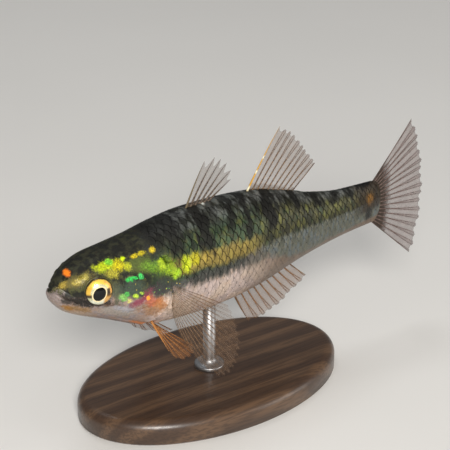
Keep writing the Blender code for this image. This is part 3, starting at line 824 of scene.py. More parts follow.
class FinFinish:
    """The two materials of a fin: rays with joints, and a thin clear membrane."""

    # Colour of the painted white glints on a first ray.
    painted_glint: Colour = (0.95, 0.88, 0.62)
    dusk: Colour = (0.08, 0.055, 0.040)

    def __init__(self, name: str, tone: FinTone) -> None:
        """Keeps the fin's name and its colours."""
        self.name = name
        self.tone = tone

    def make_rays(self) -> bpy.types.Material:
        """Horny rays with faint joints, which read "fin": share along, ray number and share of girth."""
        net = Net(f"{self.name}_rays")
        along, number, _ = net.parts("fin")
        grain = net.noise(net.millimetres(), 2.5, 3.0)
        joints = (along * 80.0 + grain * 6.0).wave().rise(-0.4, 0.9)
        colour = net.mix(joints * 0.35, self.tone.ray, self.tone.band)
        first = number.fall(0.3, 0.7)
        colour = net.mix(first, colour, self.tone.lead)
        # Painted highlights: white glints at three places along the first ray of a fin whose tone has glint.
        glint_spots = along.near(0.07, 0.03, 0.02)
        for share in (0.30, 0.52):
            glint_spots = glint_spots.most(along.near(share, 0.02, 0.02))
        colour = net.mix(first * glint_spots * self.tone.glint, colour, self.painted_glint)
        base = along.fall(0.05, 0.50) * self.tone.faint
        colour = net.mix(base, colour, self.tone.root)
        return net.surface({
            "Base Color": colour,
            "Roughness": grain * 0.2 + 0.30,
            "Specular IOR Level": 0.30,
            "Alpha": (0.88 - along.rise(0.45, 1.0) * 0.45) * (1 - base * 0.55),
            "Normal": net.bump(joints, 0.02, 0.5),
        })

    def make_web(self) -> bpy.types.Material:
        """A thin wet membrane, clearer near the body than towards its edge, with a few dusky clouds."""
        net = Net(f"{self.name}_web")
        along, number, _ = net.parts("fin")
        place = net.millimetres()
        grain = net.noise(place, 0.9, 3.0)
        dots, pick = net.cells(place, 3.0)
        speck = dots.fall(0.10, 0.26) * pick.rise(0.55, 0.7)
        beside = abs((number * math.pi).wave())
        colour = net.mix(grain.rise(0.35, 0.65) * 0.6, self.tone.web, self.tone.ray)
        colour = net.mix(speck * 0.5, colour, self.dusk)
        sheath = (along + grain.swing(0.20)).fall(*self.tone.sheath_ends) * self.tone.sheath
        colour = net.mix(sheath, colour, self.tone.root)
        veil = (along.rise(0.0, 0.6) * 0.55 + 0.45) * self.tone.clear
        alpha = veil * (1.35 - beside * 0.45) + grain.swing(0.25) * self.tone.clear + speck * 0.08
        return net.surface({
            "Base Color": colour,
            "Roughness": 0.36,
            "Specular IOR Level": 0.22,
            "Alpha": alpha.most(0.03).most(sheath),
            "Normal": net.bump(beside + grain, 0.04, 0.5),
        })


class WoodFinish:
    """Dark satin walnut with long grain and a few pores."""

    def make(self) -> bpy.types.Material:
        """Builds the material: growth rings are a wave over a place that noise bends."""
        net = Net("satin_walnut")
        place = net.millimetres((0.10, 1.0, 1.0))
        bend = net.noise(place, 0.16, 3.0)
        _, aside, up = net.split(place)
        rings = (aside * 1.5 + up * 0.9 + bend * 13.0).wave()
        fibre = net.noise(net.millimetres((0.05, 1.0, 1.0)), 3.2, 4.0, 2.0)
        colour = net.mix(rings.rise(-0.7, 0.9), (0.060, 0.032, 0.018), (0.115, 0.064, 0.034))
        colour = net.mix(fibre.rise(0.42, 0.62) * 0.55, colour, (0.032, 0.017, 0.010))
        return net.surface({
            "Base Color": colour,
            "Roughness": fibre * 0.22 + 0.28,
            "Coat Weight": 0.25,
            "Coat Roughness": 0.2,
            "Normal": net.bump(fibre, 0.03, 0.35),
        })


class SteelFinish:
    """Brushed steel, with its brushing round the rod."""

    def make(self) -> bpy.types.Material:
        """Builds the material: thin rings of noise, stretched round the rod's axis."""
        net = Net("brushed_rod")
        lines = net.noise(net.millimetres((0.15, 0.15, 9.0)), 1.0, 2.0)
        cloud = net.noise(net.millimetres(), 0.8, 2.0, 4.0)
        return net.surface({
            "Base Color": net.mix(cloud, (0.36, 0.365, 0.375), (0.46, 0.46, 0.46)),
            "Metallic": 1.0,
            "Roughness": lines * 0.20 + 0.32,
            "Normal": net.bump(lines, 0.01, 0.4),
        })


# The body


@dataclass
class BodyForm:
    """The fish's smooth body, an oval section carried along measured stations."""

    stations: tuple[tuple[float, float, float, float, float], ...] = (
        (0.0, 1.6, 1.6, 0.0, 0.50),
        (1.5, 4.1, -1.6, 2.2, 0.50),
        (3.5, 5.2, -2.8, 3.5, 0.50),
        (6.5, 6.1, -4.1, 4.6, 0.50),
        (10.0, 6.5, -5.5, 5.3, 0.48),
        (14.0, 7.0, -7.1, 6.0, 0.46),
        (18.5, 7.9, -8.1, 6.4, 0.46),
        (24.0, 8.6, -8.3, 6.5, 0.46),
        (30.0, 8.7, -8.1, 6.1, 0.46),
        (36.0, 8.4, -7.4, 5.2, 0.46),
        (42.0, 6.9, -6.0, 4.1, 0.48),
        (48.0, 5.1, -4.8, 3.0, 0.50),
        (54.0, 4.1, -4.0, 2.0, 0.50),
        (60.0, 4.0, -3.6, 1.0, 0.50),
        (61.5, 3.95, -3.55, 0.70, 0.50),
        (62.8, 3.9, -3.5, 0.40, 0.50),
    )
    gill: tuple[tuple[float, float], ...] = (
        (0.0, 15.2), (0.7, 15.8), (1.2, 16.8), (1.5, 17.0), (1.9, 16.2), (2.3, 14.6), (2.8, 12.6),
        (math.pi, 12.0),
    )
    power: float = 0.92
    end: float = 61.0
    bulge: float = 1.5
    wedge: float = 1.3

    def __post_init__(self) -> None:
        """Makes the curves through the stations, over the square root of the distance."""
        table = np.array(self.stations)
        self._curves = [monotone(np.sqrt(table[:, 0]), table[:, i]) for i in range(1, 5)]
        self._gill = monotone(*np.array(self.gill).T)

    def ridge(self, x: Array, side: float) -> Array:
        """Height of the back's ridge (side 1) or of the belly's keel (side -1)."""
        return self._curves[0 if side > 0 else 1](np.sqrt(np.maximum(x, 0)))

    def last(self, turn: Array) -> Array:
        """Distance from the snout to the body's end, an arc end + bulge |sin turn|^1.5."""
        return self.end + self.bulge * np.abs(np.sin(turn)) ** 1.5

    def gill_edge(self, turn: Array) -> Array:
        """Distance from the snout to the gill opening's edge."""
        return self._gill(self.folded(turn))

    @staticmethod
    def folded(turn: Array) -> Array:
        """The turn as its like on the left flank, from 0 to pi."""
        return np.pi - np.abs(np.pi - np.mod(turn, 2 * np.pi))

    def point(self, x: Array, turn: Array) -> Array:
        """Points of the body: two half ovals |cos|^n, |sin|^n that meet at the section's widest line.

        Over the last stretch, its half width is also multiplied by sqrt(distance to the end / wedge).
        """
        x, turn = np.broadcast_arrays(x, turn)
        root = np.sqrt(np.maximum(x, 0))
        top, low, half, level = (curve(root) for curve in self._curves)
        middle = low + (top - low) * level
        cosine, sine = np.cos(turn), np.sin(turn)
        lift = np.sign(cosine) * np.abs(cosine) ** self.power
        half = half * np.sqrt(np.clip((self.last(turn) - x) / self.wedge, 0, 1))
        y = -half * np.sign(sine) * np.abs(sine) ** self.power
        z = middle + np.where(lift > 0, lift * (top - middle), lift * (middle - low))
        return np.stack([x, y, z], -1)

    def outward(self, x: Array, turn: Array) -> Array:
        """Unit normals, from the cross product of the surface's two directions."""
        small = 0.01
        along = self.point(x + small, turn) - self.point(x - small, turn)
        around = self.point(x, turn + small) - self.point(x, turn - small)
        return unit(np.cross(around, along))


FORM = BodyForm()


@dataclass
class Eye:
    """An eyeball in its socket: an oval of revolution about the line of sight."""

    side: Side
    x: float = 5.75
    turn: float = 1.44
    radius: float = 2.2
    depth: float = 1.35
    sunk: float = 0.60
    pupil: tuple[float, float] = (0.12, -0.12)

    @property
    def axis(self) -> Array:
        """The outward line of sight."""
        return FORM.outward(self.x, self.turn) * self.side.mirror

    @property
    def centre(self) -> Array:
        """The eyeball's middle."""
        return FORM.point(self.x, self.turn) * self.side.mirror - self.axis * self.sunk

    def reach(self, points: Array) -> Array:
        """Distance of points from the line of sight."""
        offset = points - self.centre
        return np.linalg.norm(offset - (offset @ self.axis)[..., None] * self.axis, axis=-1)

    def build(self, finish: bpy.types.Material) -> bpy.types.Object:
        """Makes the eyeball: rings of radius r sin(t) at height d cos(t), t running from front to back."""
        axis = self.axis
        behind = unit(np.array([1.0, 0.0, 0.0]) - axis[0] * axis)
        above = np.cross(axis, behind) * self.side.value
        t = np.linspace(0.02, math.pi - 0.02, 44)[:, None]
        angle = np.linspace(0, 2 * math.pi, 72, endpoint=False)[None]
        p = self.radius * np.sin(t) * np.cos(angle)
        q = self.radius * np.sin(t) * np.sin(angle)
        height = self.depth * np.cos(t) + 0 * angle
        points = self.centre + p[..., None] * behind + q[..., None] * above + height[..., None] * axis
        faces = grid_faces(*p.shape, around=True)
        if self.side is Side.RIGHT:
            faces = faces[:, ::-1]
        last = (len(p) - 1) * p.shape[1]
        rim = np.arange(p.shape[1])
        caps = [rim[::-1].tolist(), (last + rim).tolist()]
        if self.side is Side.RIGHT:
            caps = [rim.tolist(), (last + rim[::-1]).tolist()]
        iris = np.stack([p - self.pupil[0], q - self.pupil[1], height], -1)
        name = f"eyeball_{self.side.word}"
        return make_piece(name, points, faces.tolist() + caps, [finish], {"iris": iris})


EYES = tuple(Eye(side) for side in Side)


@dataclass(frozen=True)
class Swelling:
    """A broad swelling of the skin, the same on both sides."""

    x: float
    turn: float
    height: float
    length: float
    width: float
    radius: float

    def relief(self, x: Array, folded: Array) -> Array:
        """Its relief: height times the bell of hypot(dx / length, dturn radius / width)."""
        around = (folded - self.turn) * self.radius / self.width
        return self.height * bump_curve(np.hypot((x - self.x) / self.length, around), 1.0)


@dataclass
class Skin:
    """One seamless skin from the lips to the root of the tail fin.

    Rings round the eye are given as distance from the line of sight, height and width.
    """

    round_points: int = 300
    head_rings: int = 152
    trunk_rings: int = 120
    under_scales: float = 0.07
    cleft_top: float = 2.2
    cleft_fall: float = 0.75
    corner: float = 2.9
    flap: float = 0.34
    nostrils: tuple[tuple[float, float, float], ...] = ((2.0, 0.62, 0.30), (3.7, 0.80, 0.26))
    orbit_rings: tuple[tuple[float, float, float], ...] = (
        (2.16, 0.16, 0.17), (2.62, 0.05, 0.14), (2.42, -0.07, 0.10),
    )
    socket_depth: float = 1.3
    socket_edge: tuple[float, float] = (1.72, 1.98)
    swellings: tuple[Swelling, ...] = (
        Swelling(9.3, 1.80, 0.16, 2.2, 1.6, 5.2),
        Swelling(6.5, 0.0, -0.16, 3.2, 1.5, 4.0),
        Swelling(15.9, 2.70, 0.30, 1.0, 1.0, 6.4),
    )
    sheath_height: float = 0.30
    sheaths: tuple[tuple[float, float, float], ...] = (
        (23.6, 29.5, 0.0), (34.9, 45.2, 0.0), (32.2, 44.4, math.pi),
    )

    def mouth(self, x: Array, points: Array) -> Array:
        """Relief of the mouth: a deep narrow cleft, a lip on either side and a fold above.

        With d the height over the cleft's line in side view, it is a sum of bells in d, faded behind.
        """
        d = (points[..., 2] - (self.cleft_top - self.cleft_fall * x)) / math.hypot(1, self.cleft_fall)
        open_ = 1 - step_curve(x, self.corner - 0.1, self.corner + 0.6)
        upper_lip = (0.03 + 0.07 * step_curve(x, 0.3, 1.6)) * bump_curve(d - 0.36, 0.26)
        lower_lip = (0.06 + 0.10 * step_curve(x, 0.2, 1.4)) * bump_curve(d + 0.40, 0.32)
        cleft = (0.22 + 0.16 * step_curve(x, 0.1, 1.0)) * bump_curve(d, 0.085)
        fold = 0.06 * bump_curve(d - 0.86, 0.14) + 0.03 * bump_curve(d + 0.95, 0.15)
        chin = 0.40 * bump_curve(d + 0.95, 0.80) * (1 - step_curve(x, 0.2, 2.4))
        corner = 0.16 * bump_curve(np.hypot(x - self.corner - 0.25, d + 0.05), 0.35)
        return (upper_lip + lower_lip - cleft - fold) * open_ + chin - corner

    def orbits(self, points: Array) -> Array:
        """Relief round the eyes: a socket behind each eyeball, a raised rim and a trough outside it."""
        total = np.zeros(points.shape[:-1])
        for eye in EYES:
            r = eye.reach(points)
            ahead = (points - eye.centre) @ eye.axis > -2.0
            relief = -self.socket_depth * (1 - step_curve(r, *self.socket_edge))
            for radius, height, width in self.orbit_rings:
                relief = relief + height * bump_curve(r - radius, width)
            total += np.where(ahead, relief, 0)
        return total

    def nostril_relief(self, points: Array) -> Array:
        """Relief of the nostrils: a low ring round a pit."""
        total = np.zeros(points.shape[:-1])
        for side in Side:
            for x, turn, size in self.nostrils:
                r = np.linalg.norm(points - FORM.point(x, turn) * side.mirror, axis=-1)
                total += 0.09 * bump_curve(r - size * 0.95, 0.11) - 0.32 * bump_curve(r, size * 0.5)
        return total

    def gill_relief(self, x: Array, turn: Array, head: Array) -> Array:
        """Relief of the gill covers: a flap that lifts towards its free edge, and bones on the cheek.

        The flap rises as (1 - s / 7) squared with s the distance to its edge, and rounds off over the last
        quarter of a millimetre. Behind it the skin dips as exp(-s / 0.6).
        """
        folded = FORM.folded(turn)
        window = step_curve(folded, 0.72, 1.10) * (1 - 0.55 * step_curve(folded, 2.45, 3.0))
        s = FORM.gill_edge(turn) - x
        rounding = np.sqrt(np.clip(1 - (1 - np.clip(s / 0.28, 0, 1)) ** 2, 0, 1))
        lift = self.flap * np.clip(1 - s / 7, 0, 1) ** 2 * (0.35 + 0.65 * rounding)
        dip = -0.16 * np.exp(-np.maximum(-s, 0) / 0.6)
        relief = np.where(head, lift, dip) * window
        front = 10.4 + 1.1 * (folded - 1.55) ** 2
        cheek = step_curve(folded, 0.95, 1.2) * (1 - step_curve(folded, 2.1, 2.35))
        bone = 0.11 * bump_curve(x - front, 0.16) - 0.05 * bump_curve(x - front + 0.4, 0.25)
        relief = relief - np.where(head, bone, 0) * cheek
        seam = 2.10 - 0.085 * (x - 10.0)
        run = step_curve(x, 9.5, 10.8) * (1 - step_curve(x, 15.4, 16.2))
        relief = relief - np.where(head, 0.09 * bump_curve((folded - seam) * 5.5, 0.15), 0) * run
        throat = step_curve(folded, 2.35, 2.5) * (1 - step_curve(folded, 2.85, 3.05))
        folds = 0.07 * np.cos((folded - 2.3) * 26.0) * throat
        return relief + np.where(head, folds * step_curve(x, 8.0, 10.0), 0)

    def soft_forms(self, x: Array, turn: Array) -> Array:
        """Broad swellings: the cheek, the flat crown, the paired fins' roots and the fins' sheaths."""
        folded = FORM.folded(turn)
        total = sum(swelling.relief(x, folded) for swelling in self.swellings)
        line = 17.9 - 0.9 * np.clip((folded - 1.50) / 0.40, -0.2, 1.2)
        past = np.maximum(np.abs(folded - 1.70) - 0.20, 0) * 6.4
        off = x - line - 0.2
        off = np.minimum(off, 0) / 0.55 + np.maximum(off, 0) / 1.2
        total = total + 0.50 * bump_curve(np.hypot(off, past / 0.5), 1.0)
        for first, last, level in self.sheaths:
            run = step_curve(x, first - 1.2, first) * (1 - step_curve(x, last, last + 1.5))
            total = total + self.sheath_height * run * bump_curve((folded - level) * 4.2, 0.62)
        return total

    def build(self, finish: bpy.types.Material) -> bpy.types.Object:
        """Makes the skin: rings that follow the gill opening's edge, each point moved out by the relief."""
        turn = np.linspace(0, 2 * np.pi, self.round_points, endpoint=False)[None]
        edge = FORM.gill_edge(turn)
        ahead = (np.linspace(0, 1, self.head_rings + 1)[1:, None] ** 1.32) * edge
        share = np.linspace(0, 1, self.trunk_rings)[:, None]
        end = FORM.last(turn) - 0.01
        behind = edge + 0.05 + (end - edge - 0.05) * (1 - (1 - share) ** 1.25)
        x = np.concatenate([ahead, behind])
        turn = np.broadcast_to(turn, x.shape)
        head = np.arange(len(x))[:, None] < self.head_rings
        points = FORM.point(x, turn)
        relief = self.gill_relief(x, turn, head) + self.soft_forms(x, turn)
        relief += np.where(head, self.mouth(x, points) + self.orbits(points) + self.nostril_relief(points), 0)
        relief -= self.under_scales * np.where(head, 0, step_curve(x - edge, 0.0, 1.0))
        relief *= 1 - step_curve(x - end, -1.2, -0.3)
        points = points + FORM.outward(x, turn) * relief[..., None]
        rows, columns = x.shape
        faces = grid_faces(rows, columns, around=True)
        tip = points[0].mean(0) + [-0.012, 0, 0]
        tail = points[-1].mean(0)
        count = rows * columns
        ring = np.arange(columns)
        first = fan_faces(ring, count)
        last = fan_faces(count - columns + ring, count + 1)[:, [1, 0, 2]]
        places = np.stack([x, FORM.folded(turn), points[..., 2]], -1).reshape(-1, 3)
        places = np.concatenate([places, [[0.0, np.pi / 2, tip[2]], [tail[0], np.pi / 2, tail[2]]]])
        points = np.concatenate([points.reshape(-1, 3), [tip, tail]])
        faces = faces.tolist() + first.tolist() + last.tolist()
        return make_piece("skin", points, faces, [finish], {"place": places})


@dataclass
class ScaleCoat:
    """Overlapping scales in rows along the body, each a thin domed plate rooted in the skin.

    A row keeps its distance along the skin from the middle of the flank, so that rows end at the back and the
    belly as the body narrows. Every second row is set back by half a scale.
    """

    middle_turn: float = 1.52
    lengths: tuple[tuple[float, float], ...] = ((12.0, 1.15), (20.0, 1.36), (34.0, 1.36), (60.0, 1.00))
    heights: tuple[tuple[float, float], ...] = ((12.0, 0.94), (20.0, 1.06), (34.0, 1.06), (60.0, 0.74))
    across: int = 9
    along: int = 5
    tuck: float = 0.95
    lift_front: float = -0.052
    lift_rear: float = 0.022
    thickness: float = 0.05
    turn_step: float = 0.05
    seed: int = 11

    def __post_init__(self) -> None:
        """Tabulates arc length round the body and the number of scales passed along it."""
        self._xs = np.linspace(11.0, FORM.end + FORM.bulge, 127)
        self._turns = np.linspace(-0.8, np.pi + 0.8, 241)
        ring = FORM.point(self._xs[:, None], self._turns[None])
        steps = np.linalg.norm(np.diff(ring, axis=1), axis=-1)
        arc = np.concatenate([np.zeros((len(self._xs), 1)), np.cumsum(steps, 1)], 1)
        middle = np.array([np.interp(self.middle_turn, self._turns, row) for row in arc])
        self._arc = arc - middle[:, None]
        self._arcs = np.linspace(self._arc.min(), self._arc.max(), 400)
        self._turn_of = np.array([np.interp(self._arcs, row, self._turns) for row in self._arc])
        self._passed = np.concatenate([[0], np.cumsum(np.diff(self._xs) / self.length(self._xs[:-1]))])

    def length(self, x: Array) -> Array:
        """Length of a scale's place in its row."""
        return np.interp(x, *np.array(self.lengths).T)

    def height(self, x: Array) -> Array:
        """Distance between two rows."""
        return np.interp(x, *np.array(self.heights).T)

    def turn_at(self, x: Array, arc: Array) -> Array:
        """Turn at a distance along the skin from the flank's middle, read between the table's entries."""
        i = np.clip((x - self._xs[0]) / (self._xs[1] - self._xs[0]), 0, len(self._xs) - 1.001)
        j = np.clip((arc - self._arcs[0]) / (self._arcs[1] - self._arcs[0]), 0, len(self._arcs) - 1.001)
        a, b = i.astype(int), j.astype(int)
        s, t = i - a, j - b
        table = self._turn_of
        low = table[a, b] * (1 - t) + table[a, b + 1] * t
        high = table[a + 1, b] * (1 - t) + table[a + 1, b + 1] * t
        return low * (1 - s) + high * s

    def roots(self) -> Array:
        """Middles of all scales of the left side as rows of distance and arc."""
        rows = np.arange(-32, 33)[:, None]
        passed = np.arange(0, int(self._passed[-1]) + 1)[None] + 0.5 * (rows % 2)
        x = np.interp(passed, self._passed, self._xs)
        x, row = np.broadcast_arrays(x, rows)
        arc = row * self.height(x)
        turn = self.turn_at(x, arc)
        across = FORM.point(x, turn + self.turn_step) - FORM.point(x, turn - self.turn_step)
        half = self.height(x) / np.maximum(np.linalg.norm(across, axis=-1) / (2 * self.turn_step), 1.0)
        start = FORM.gill_edge(np.clip(turn, 0, np.pi)) + 0.55
        start = np.where(turn < 0.75, 12.6 + np.clip(turn, 0, 1) * 4.8, start)
        keep = (x > start) & (x < FORM.last(turn) - 0.75 * self.length(x))
        keep &= (turn > 0.22 * half) & (turn < np.pi - 0.22 * half)
        return np.stack([x[keep], arc[keep]], 1)

    def ridge_roots(self, turn: float, start: float) -> Array:
        """Middles of the row along the back's ridge or the belly's keel."""
        x = np.interp(np.arange(0.25, self._passed[-1]), self._passed, self._xs)
        x = x[(x > start) & (x < FORM.end - 0.6)]
        arcs = np.stack([np.interp(x, self._xs, column) for column in self._arc.T], 1)
        arc = np.array([np.interp(turn, self._turns, row) for row in arcs])
        return np.stack([x, arc], 1)

    def plates(self, roots: Array, side: Side, rng: np.random.Generator) -> tuple[Array, Array, Array, Array]:
        """Points, places, plate data and map places of the scales over given roots.

        With u across and v along a scale, its point lies at arc + u h and at x from -tuck L to the rear rim
        L / 2 cos(pi u / 2)^0.5, and it rises evenly from front to rear with a low dome 1 - u squared.
        """
        stray = rng.normal(0, 1, (2, len(roots), 1, 1))
        x0, arc0 = roots[:, 0, None, None] + 0.035 * stray[0], roots[:, 1, None, None] + 0.03 * stray[1]
        number = np.broadcast_to(rng.random(len(roots))[:, None, None], (len(roots), self.along, self.across))
        u = np.linspace(-1, 1, self.across)[None, None]
        v = np.linspace(0, 1, self.along)[None, :, None]
        length, height = self.length(x0), self.height(x0)
        rear = length * (0.03 + 0.52 * np.maximum(np.cos(np.pi / 2 * u * 0.985), 0) ** 0.50)
        front = -self.tuck * length * np.sqrt(1 - 0.35 * u * u)
        along = front + (rear - front) * (1 - (1 - v) ** 1.5)
        x = np.minimum(x0 + along, self._xs[-1] - 0.02)
        turn = self.turn_at(x, arc0 + u * height)
        slope = (self.lift_rear - self.lift_front) / (self.tuck + 0.55)
        calm = 1 - 0.60 * step_curve(FORM.folded(turn), 1.35, 1.6)
        calm = calm * (0.45 + 0.55 * step_curve(x, 14.0, 21.0))
        lift = self.lift_front + calm * (slope * (along / length + self.tuck) + 0.02 * (1 - u * u) * v)
        lift = lift - 0.02 * (v > 0.999)
        normal = FORM.outward(x, turn)
        base = FORM.point(x, turn)
        top = base + normal * lift[..., None]
        low = base + normal * (lift - self.thickness)[..., None]
        rim = border_of(self.along, self.across)
        count = len(roots)
        flat = (count, self.along * self.across)
        centre = low.reshape(*flat, 3)[:, rim].mean(1, keepdims=True)
        points = np.concatenate([top.reshape(*flat, 3), centre], 1) * side.mirror
        place = np.stack([x, FORM.folded(turn), top[..., 2]], -1).reshape(*flat, 3)
        plate = np.stack([rear - along + 0 * number, u + 0 * number, number], -1).reshape(*flat, 3)
        place = np.concatenate([place, place[:, :1]], 1)
        plate = np.concatenate([plate, plate[:, :1]], 1)
        return points, place, plate, self.bake_places(roots, side, u, v)

    def bake_places(self, roots: Array, side: Side, u: Array, v: Array) -> Array:
        """A patch 0.003 across for each scale, at its root's place on an unwrap: distance by turn."""
        turn = self.turn_at(roots[:, 0], roots[:, 1])
        turn = np.where(side is Side.LEFT, turn, 2 * np.pi - turn)
        root = np.stack([0.02 + 0.96 * roots[:, 0] / 62, 0.06 + 0.88 * turn / (2 * np.pi)], -1)
        local = np.stack(np.broadcast_arrays(v - 0.5, 0.5 * u), -1).reshape(1, -1, 2) * 0.003
        patch = root[:, None] + local
        return np.concatenate([patch, root[:, None]], 1)

    def build(self, finish: bpy.types.Material) -> bpy.types.Object:
        """Makes all scales of both sides as one joined mesh of closed plates."""
        rng = np.random.default_rng(self.seed)
        groups = [(side, self.roots()) for side in Side]
        groups.append((Side.LEFT, self.ridge_roots(0.0, 13.5)))
        groups.append((Side.LEFT, self.ridge_roots(math.pi, 14.0)))
        top = grid_faces(self.along, self.across)
        rim = border_of(self.along, self.across)
        size = self.along * self.across
        under = fan_faces(rim, size)
        each = size + 1
        stacks: list[list[Array]] = [[], [], [], []]
        faces: list[list[int]] = []
        offset = 0
        for side, roots in groups:
            for stack, values in zip(stacks, self.plates(roots, side, rng)):
                stack.append(values.reshape(-1, values.shape[-1]))
            for pattern in (top, under):
                block = pattern[None] + (offset + each * np.arange(len(roots)))[:, None, None]
                block = block.reshape(-1, pattern.shape[1])
                faces += (block if side is Side.LEFT else block[:, ::-1]).tolist()
            offset += each * len(roots)
        points, place, plate, uv = (np.concatenate(stack) for stack in stacks)
        LOG.info("%d scales", offset // each)
        return make_piece("scales", points, faces, [finish], {"place": place, "plate": plate}, uv)


# The fins


@dataclass
class FinPlan:
    """The lines of a fin's rays: their feet, directions, lengths, the fin's normals and how the rays bow.

    Girth is a ray's radius past its foot, and slender the share of it that the foot has.
    """

    name: str
    feet: Array
    aims: Array
    reaches: Array
    across: Array
    bows: Array
    tone: FinTone
    spines: int = 0
    twice: bool = True
    notch: float = 0.95
    girth: float = 0.12
    ripple: float = 0.10
    sunk: float = 0.45
    slender: float = 1.0


@dataclass
class RayFin:
    """A fin of jointed rays that fork towards their tips, with a thin clear membrane between them."""

    plan: FinPlan
    nodes: tuple[str, ...]
    web_rows: int = 14
    web_steps: int = 6
    web_half: float = 0.03
    ray_points: int = 15
    ray_sides: int = 6
    gap: float = 0.025
    spread: float = 0.19
    parts_at: float = 0.42
    fork: float = 0.10
    forks_at: float = 0.66

    def surface(self, c: Array, t: Array) -> tuple[Array, Array]:
        """Points and normals of the fin's middle surface at ray numbers c and shares t.

        The point is foot + aim reach t + bow t^2, moved along the normal by a ripple that grows with t.
        """
        plan = self.plan
        c, t = np.broadcast_arrays(c, t)
        index = np.arange(len(plan.feet))
        def read(table: Array) -> Array:
            """A table's rows at the ray numbers c."""
            return np.stack([np.interp(c, index, part) for part in table.T], -1)
        aim = unit(read(plan.aims))
        reach = np.interp(c, index, plan.reaches)[..., None]
        normal = unit(read(plan.across))
        sink = plan.sunk * (1 - t[..., None]) ** 6
        points = read(plan.feet) + aim * (reach * t[..., None] - sink) + read(plan.bows) * t[..., None] ** 2
        ripple = plan.ripple * np.sin(1.9 * c + 2.6 * t) * t ** 1.5
        return points + normal * ripple[..., None], normal

    def web(self) -> tuple[Array, Array, Array]:
        """The membrane: a thin closed sheet that is drawn in a little between the tips of the rays."""
        count = len(self.plan.feet)
        c = np.linspace(0, count - 1, (count - 1) * self.web_steps + 1)[:, None]
        t = np.linspace(0, 1, self.web_rows)[None]
        between = np.sin(np.pi * (c - np.floor(c))) ** 2
        fork = np.sin(2 * np.pi * (c - np.floor(c))) ** 2
        limit = 0.985 - (1 - self.plan.notch) * between - 0.012 * fork
        points, normal = self.surface(c, t * limit)
        half = self.web_half * (1 - 0.4 * t)[..., None]
        faces = (points + normal * half, points - normal * half)
        sheet = np.concatenate([face.reshape(-1, 3) for face in faces])
        rows, columns = points.shape[:2]
        front = grid_faces(rows, columns)
        back = front[:, ::-1] + rows * columns
        rim = border_of(rows, columns)
        after = np.roll(rim, -1)
        wall = np.stack([rim, after, after + rows * columns, rim + rows * columns], 1)[:, ::-1]
        data = np.stack(np.broadcast_arrays(t, c, 0 * t), -1).reshape(-1, 3)
        return sheet, np.concatenate([front, back, wall]), np.concatenate([data, data])

    def aside(self, t: Array) -> Array:
        """Distance of a soft ray's two halves from its own line: gap + spread step(t)."""
        return self.gap + self.spread * step_curve(t, self.parts_at, 1.0)

    def ray_lines(self) -> tuple[Array, Array, Array]:
        """Ray number, share and thickness along every branch.

        A spine is one line. A soft ray is two lines side by side that part past its middle, and each has a
        branch of its own near the tip: the ray number is i +- d(t), with d growing as a smooth step.
        """
        count = len(self.plan.feet)
        t = np.linspace(0, 1, self.ray_points)
        late = self.forks_at + 0.31 * t
        lines, shares, girths = [], [], []
        for i in range(count):
            if i < self.plan.spines:
                lines.append(i + 0 * t)
                shares.append(t)
                girths.append(1.35 * (1 - 0.85 * t))
                continue
            for side in (-1, 1):
                lines.append(i + side * self.aside(t))
                shares.append(t * 0.975)
                girths.append(0.80 * (1 - 0.78 * t))
                if not self.plan.twice:
                    continue
                away = self.aside(late) - self.fork * step_curve(late, self.forks_at, 1.0)
                lines.append(i + side * away)
                shares.append(late)
                girths.append(0.36 * (1 - 0.6 * t))
        low = 0.0 if self.plan.spines else 0.03
        return np.clip(lines, low, count - 1 - 0.03), np.array(shares), np.array(girths)

    def rays(self) -> tuple[Array, Array, Array, list[list[int]]]:
        """The rays: tapered tubes along their lines, closed at both ends."""
        c, t, girth = self.ray_lines()
        path, normal = self.surface(c, t)
        ahead = unit(np.gradient(path, axis=1))
        aside = unit(np.cross(ahead, normal))
        angle = np.linspace(0, 2 * np.pi, self.ray_sides, endpoint=False)
        cosine, sine = np.cos(angle)[:, None], 1.15 * np.sin(angle)[:, None]
        circle = cosine * aside[:, :, None] + sine * normal[:, :, None]
        slim = self.plan.slender + (1 - self.plan.slender) * step_curve(t, 0.0, 0.45)
        points = path[:, :, None] + circle * (self.plan.girth * girth * slim)[..., None, None]
        tubes, steps = path.shape[:2]
        one = grid_faces(steps, self.ray_sides, around=True)[:, ::-1]
        each = steps * self.ray_sides
        quads = (one[None] + (each * np.arange(tubes))[:, None, None]).reshape(-1, 4)
        ring = np.arange(self.ray_sides)
        starts = each * np.arange(tubes)[:, None]
        caps = (starts + ring).tolist() + (starts + each - 1 - ring).tolist()
        data = np.stack([t, np.round(c), girth], -1)[:, :, None] + 0 * angle[:, None]
        return points.reshape(-1, 3), quads, data.reshape(-1, 3), caps

    def build(self) -> bpy.types.Object:
        """Makes the fin as one piece with its two materials."""
        sheet, faces, data = self.web()
        points, quads, ray_data, caps = self.rays()
        shift = len(sheet)
        all_faces = faces.tolist() + (quads + shift).tolist() + [[v + shift for v in cap] for cap in caps]
        picks = np.zeros(len(all_faces), int)
        picks[: len(faces)] = 1
        finish = FinFinish(self.plan.name, self.plan.tone)
        materials = [finish.make_rays(), finish.make_web()]
        item = make_piece(
            self.plan.name, np.concatenate([sheet, points]), all_faces, materials,
            {"fin": np.concatenate([data, ray_data])}, picks=picks,
        )
        settle(item, self.nodes)
        return item


def even(values: Sequence[float], count: int) -> Array:
    """Spreads a few values evenly over a number of rays."""
    return np.interp(np.linspace(0, 1, count), np.linspace(0, 1, len(values)), values)


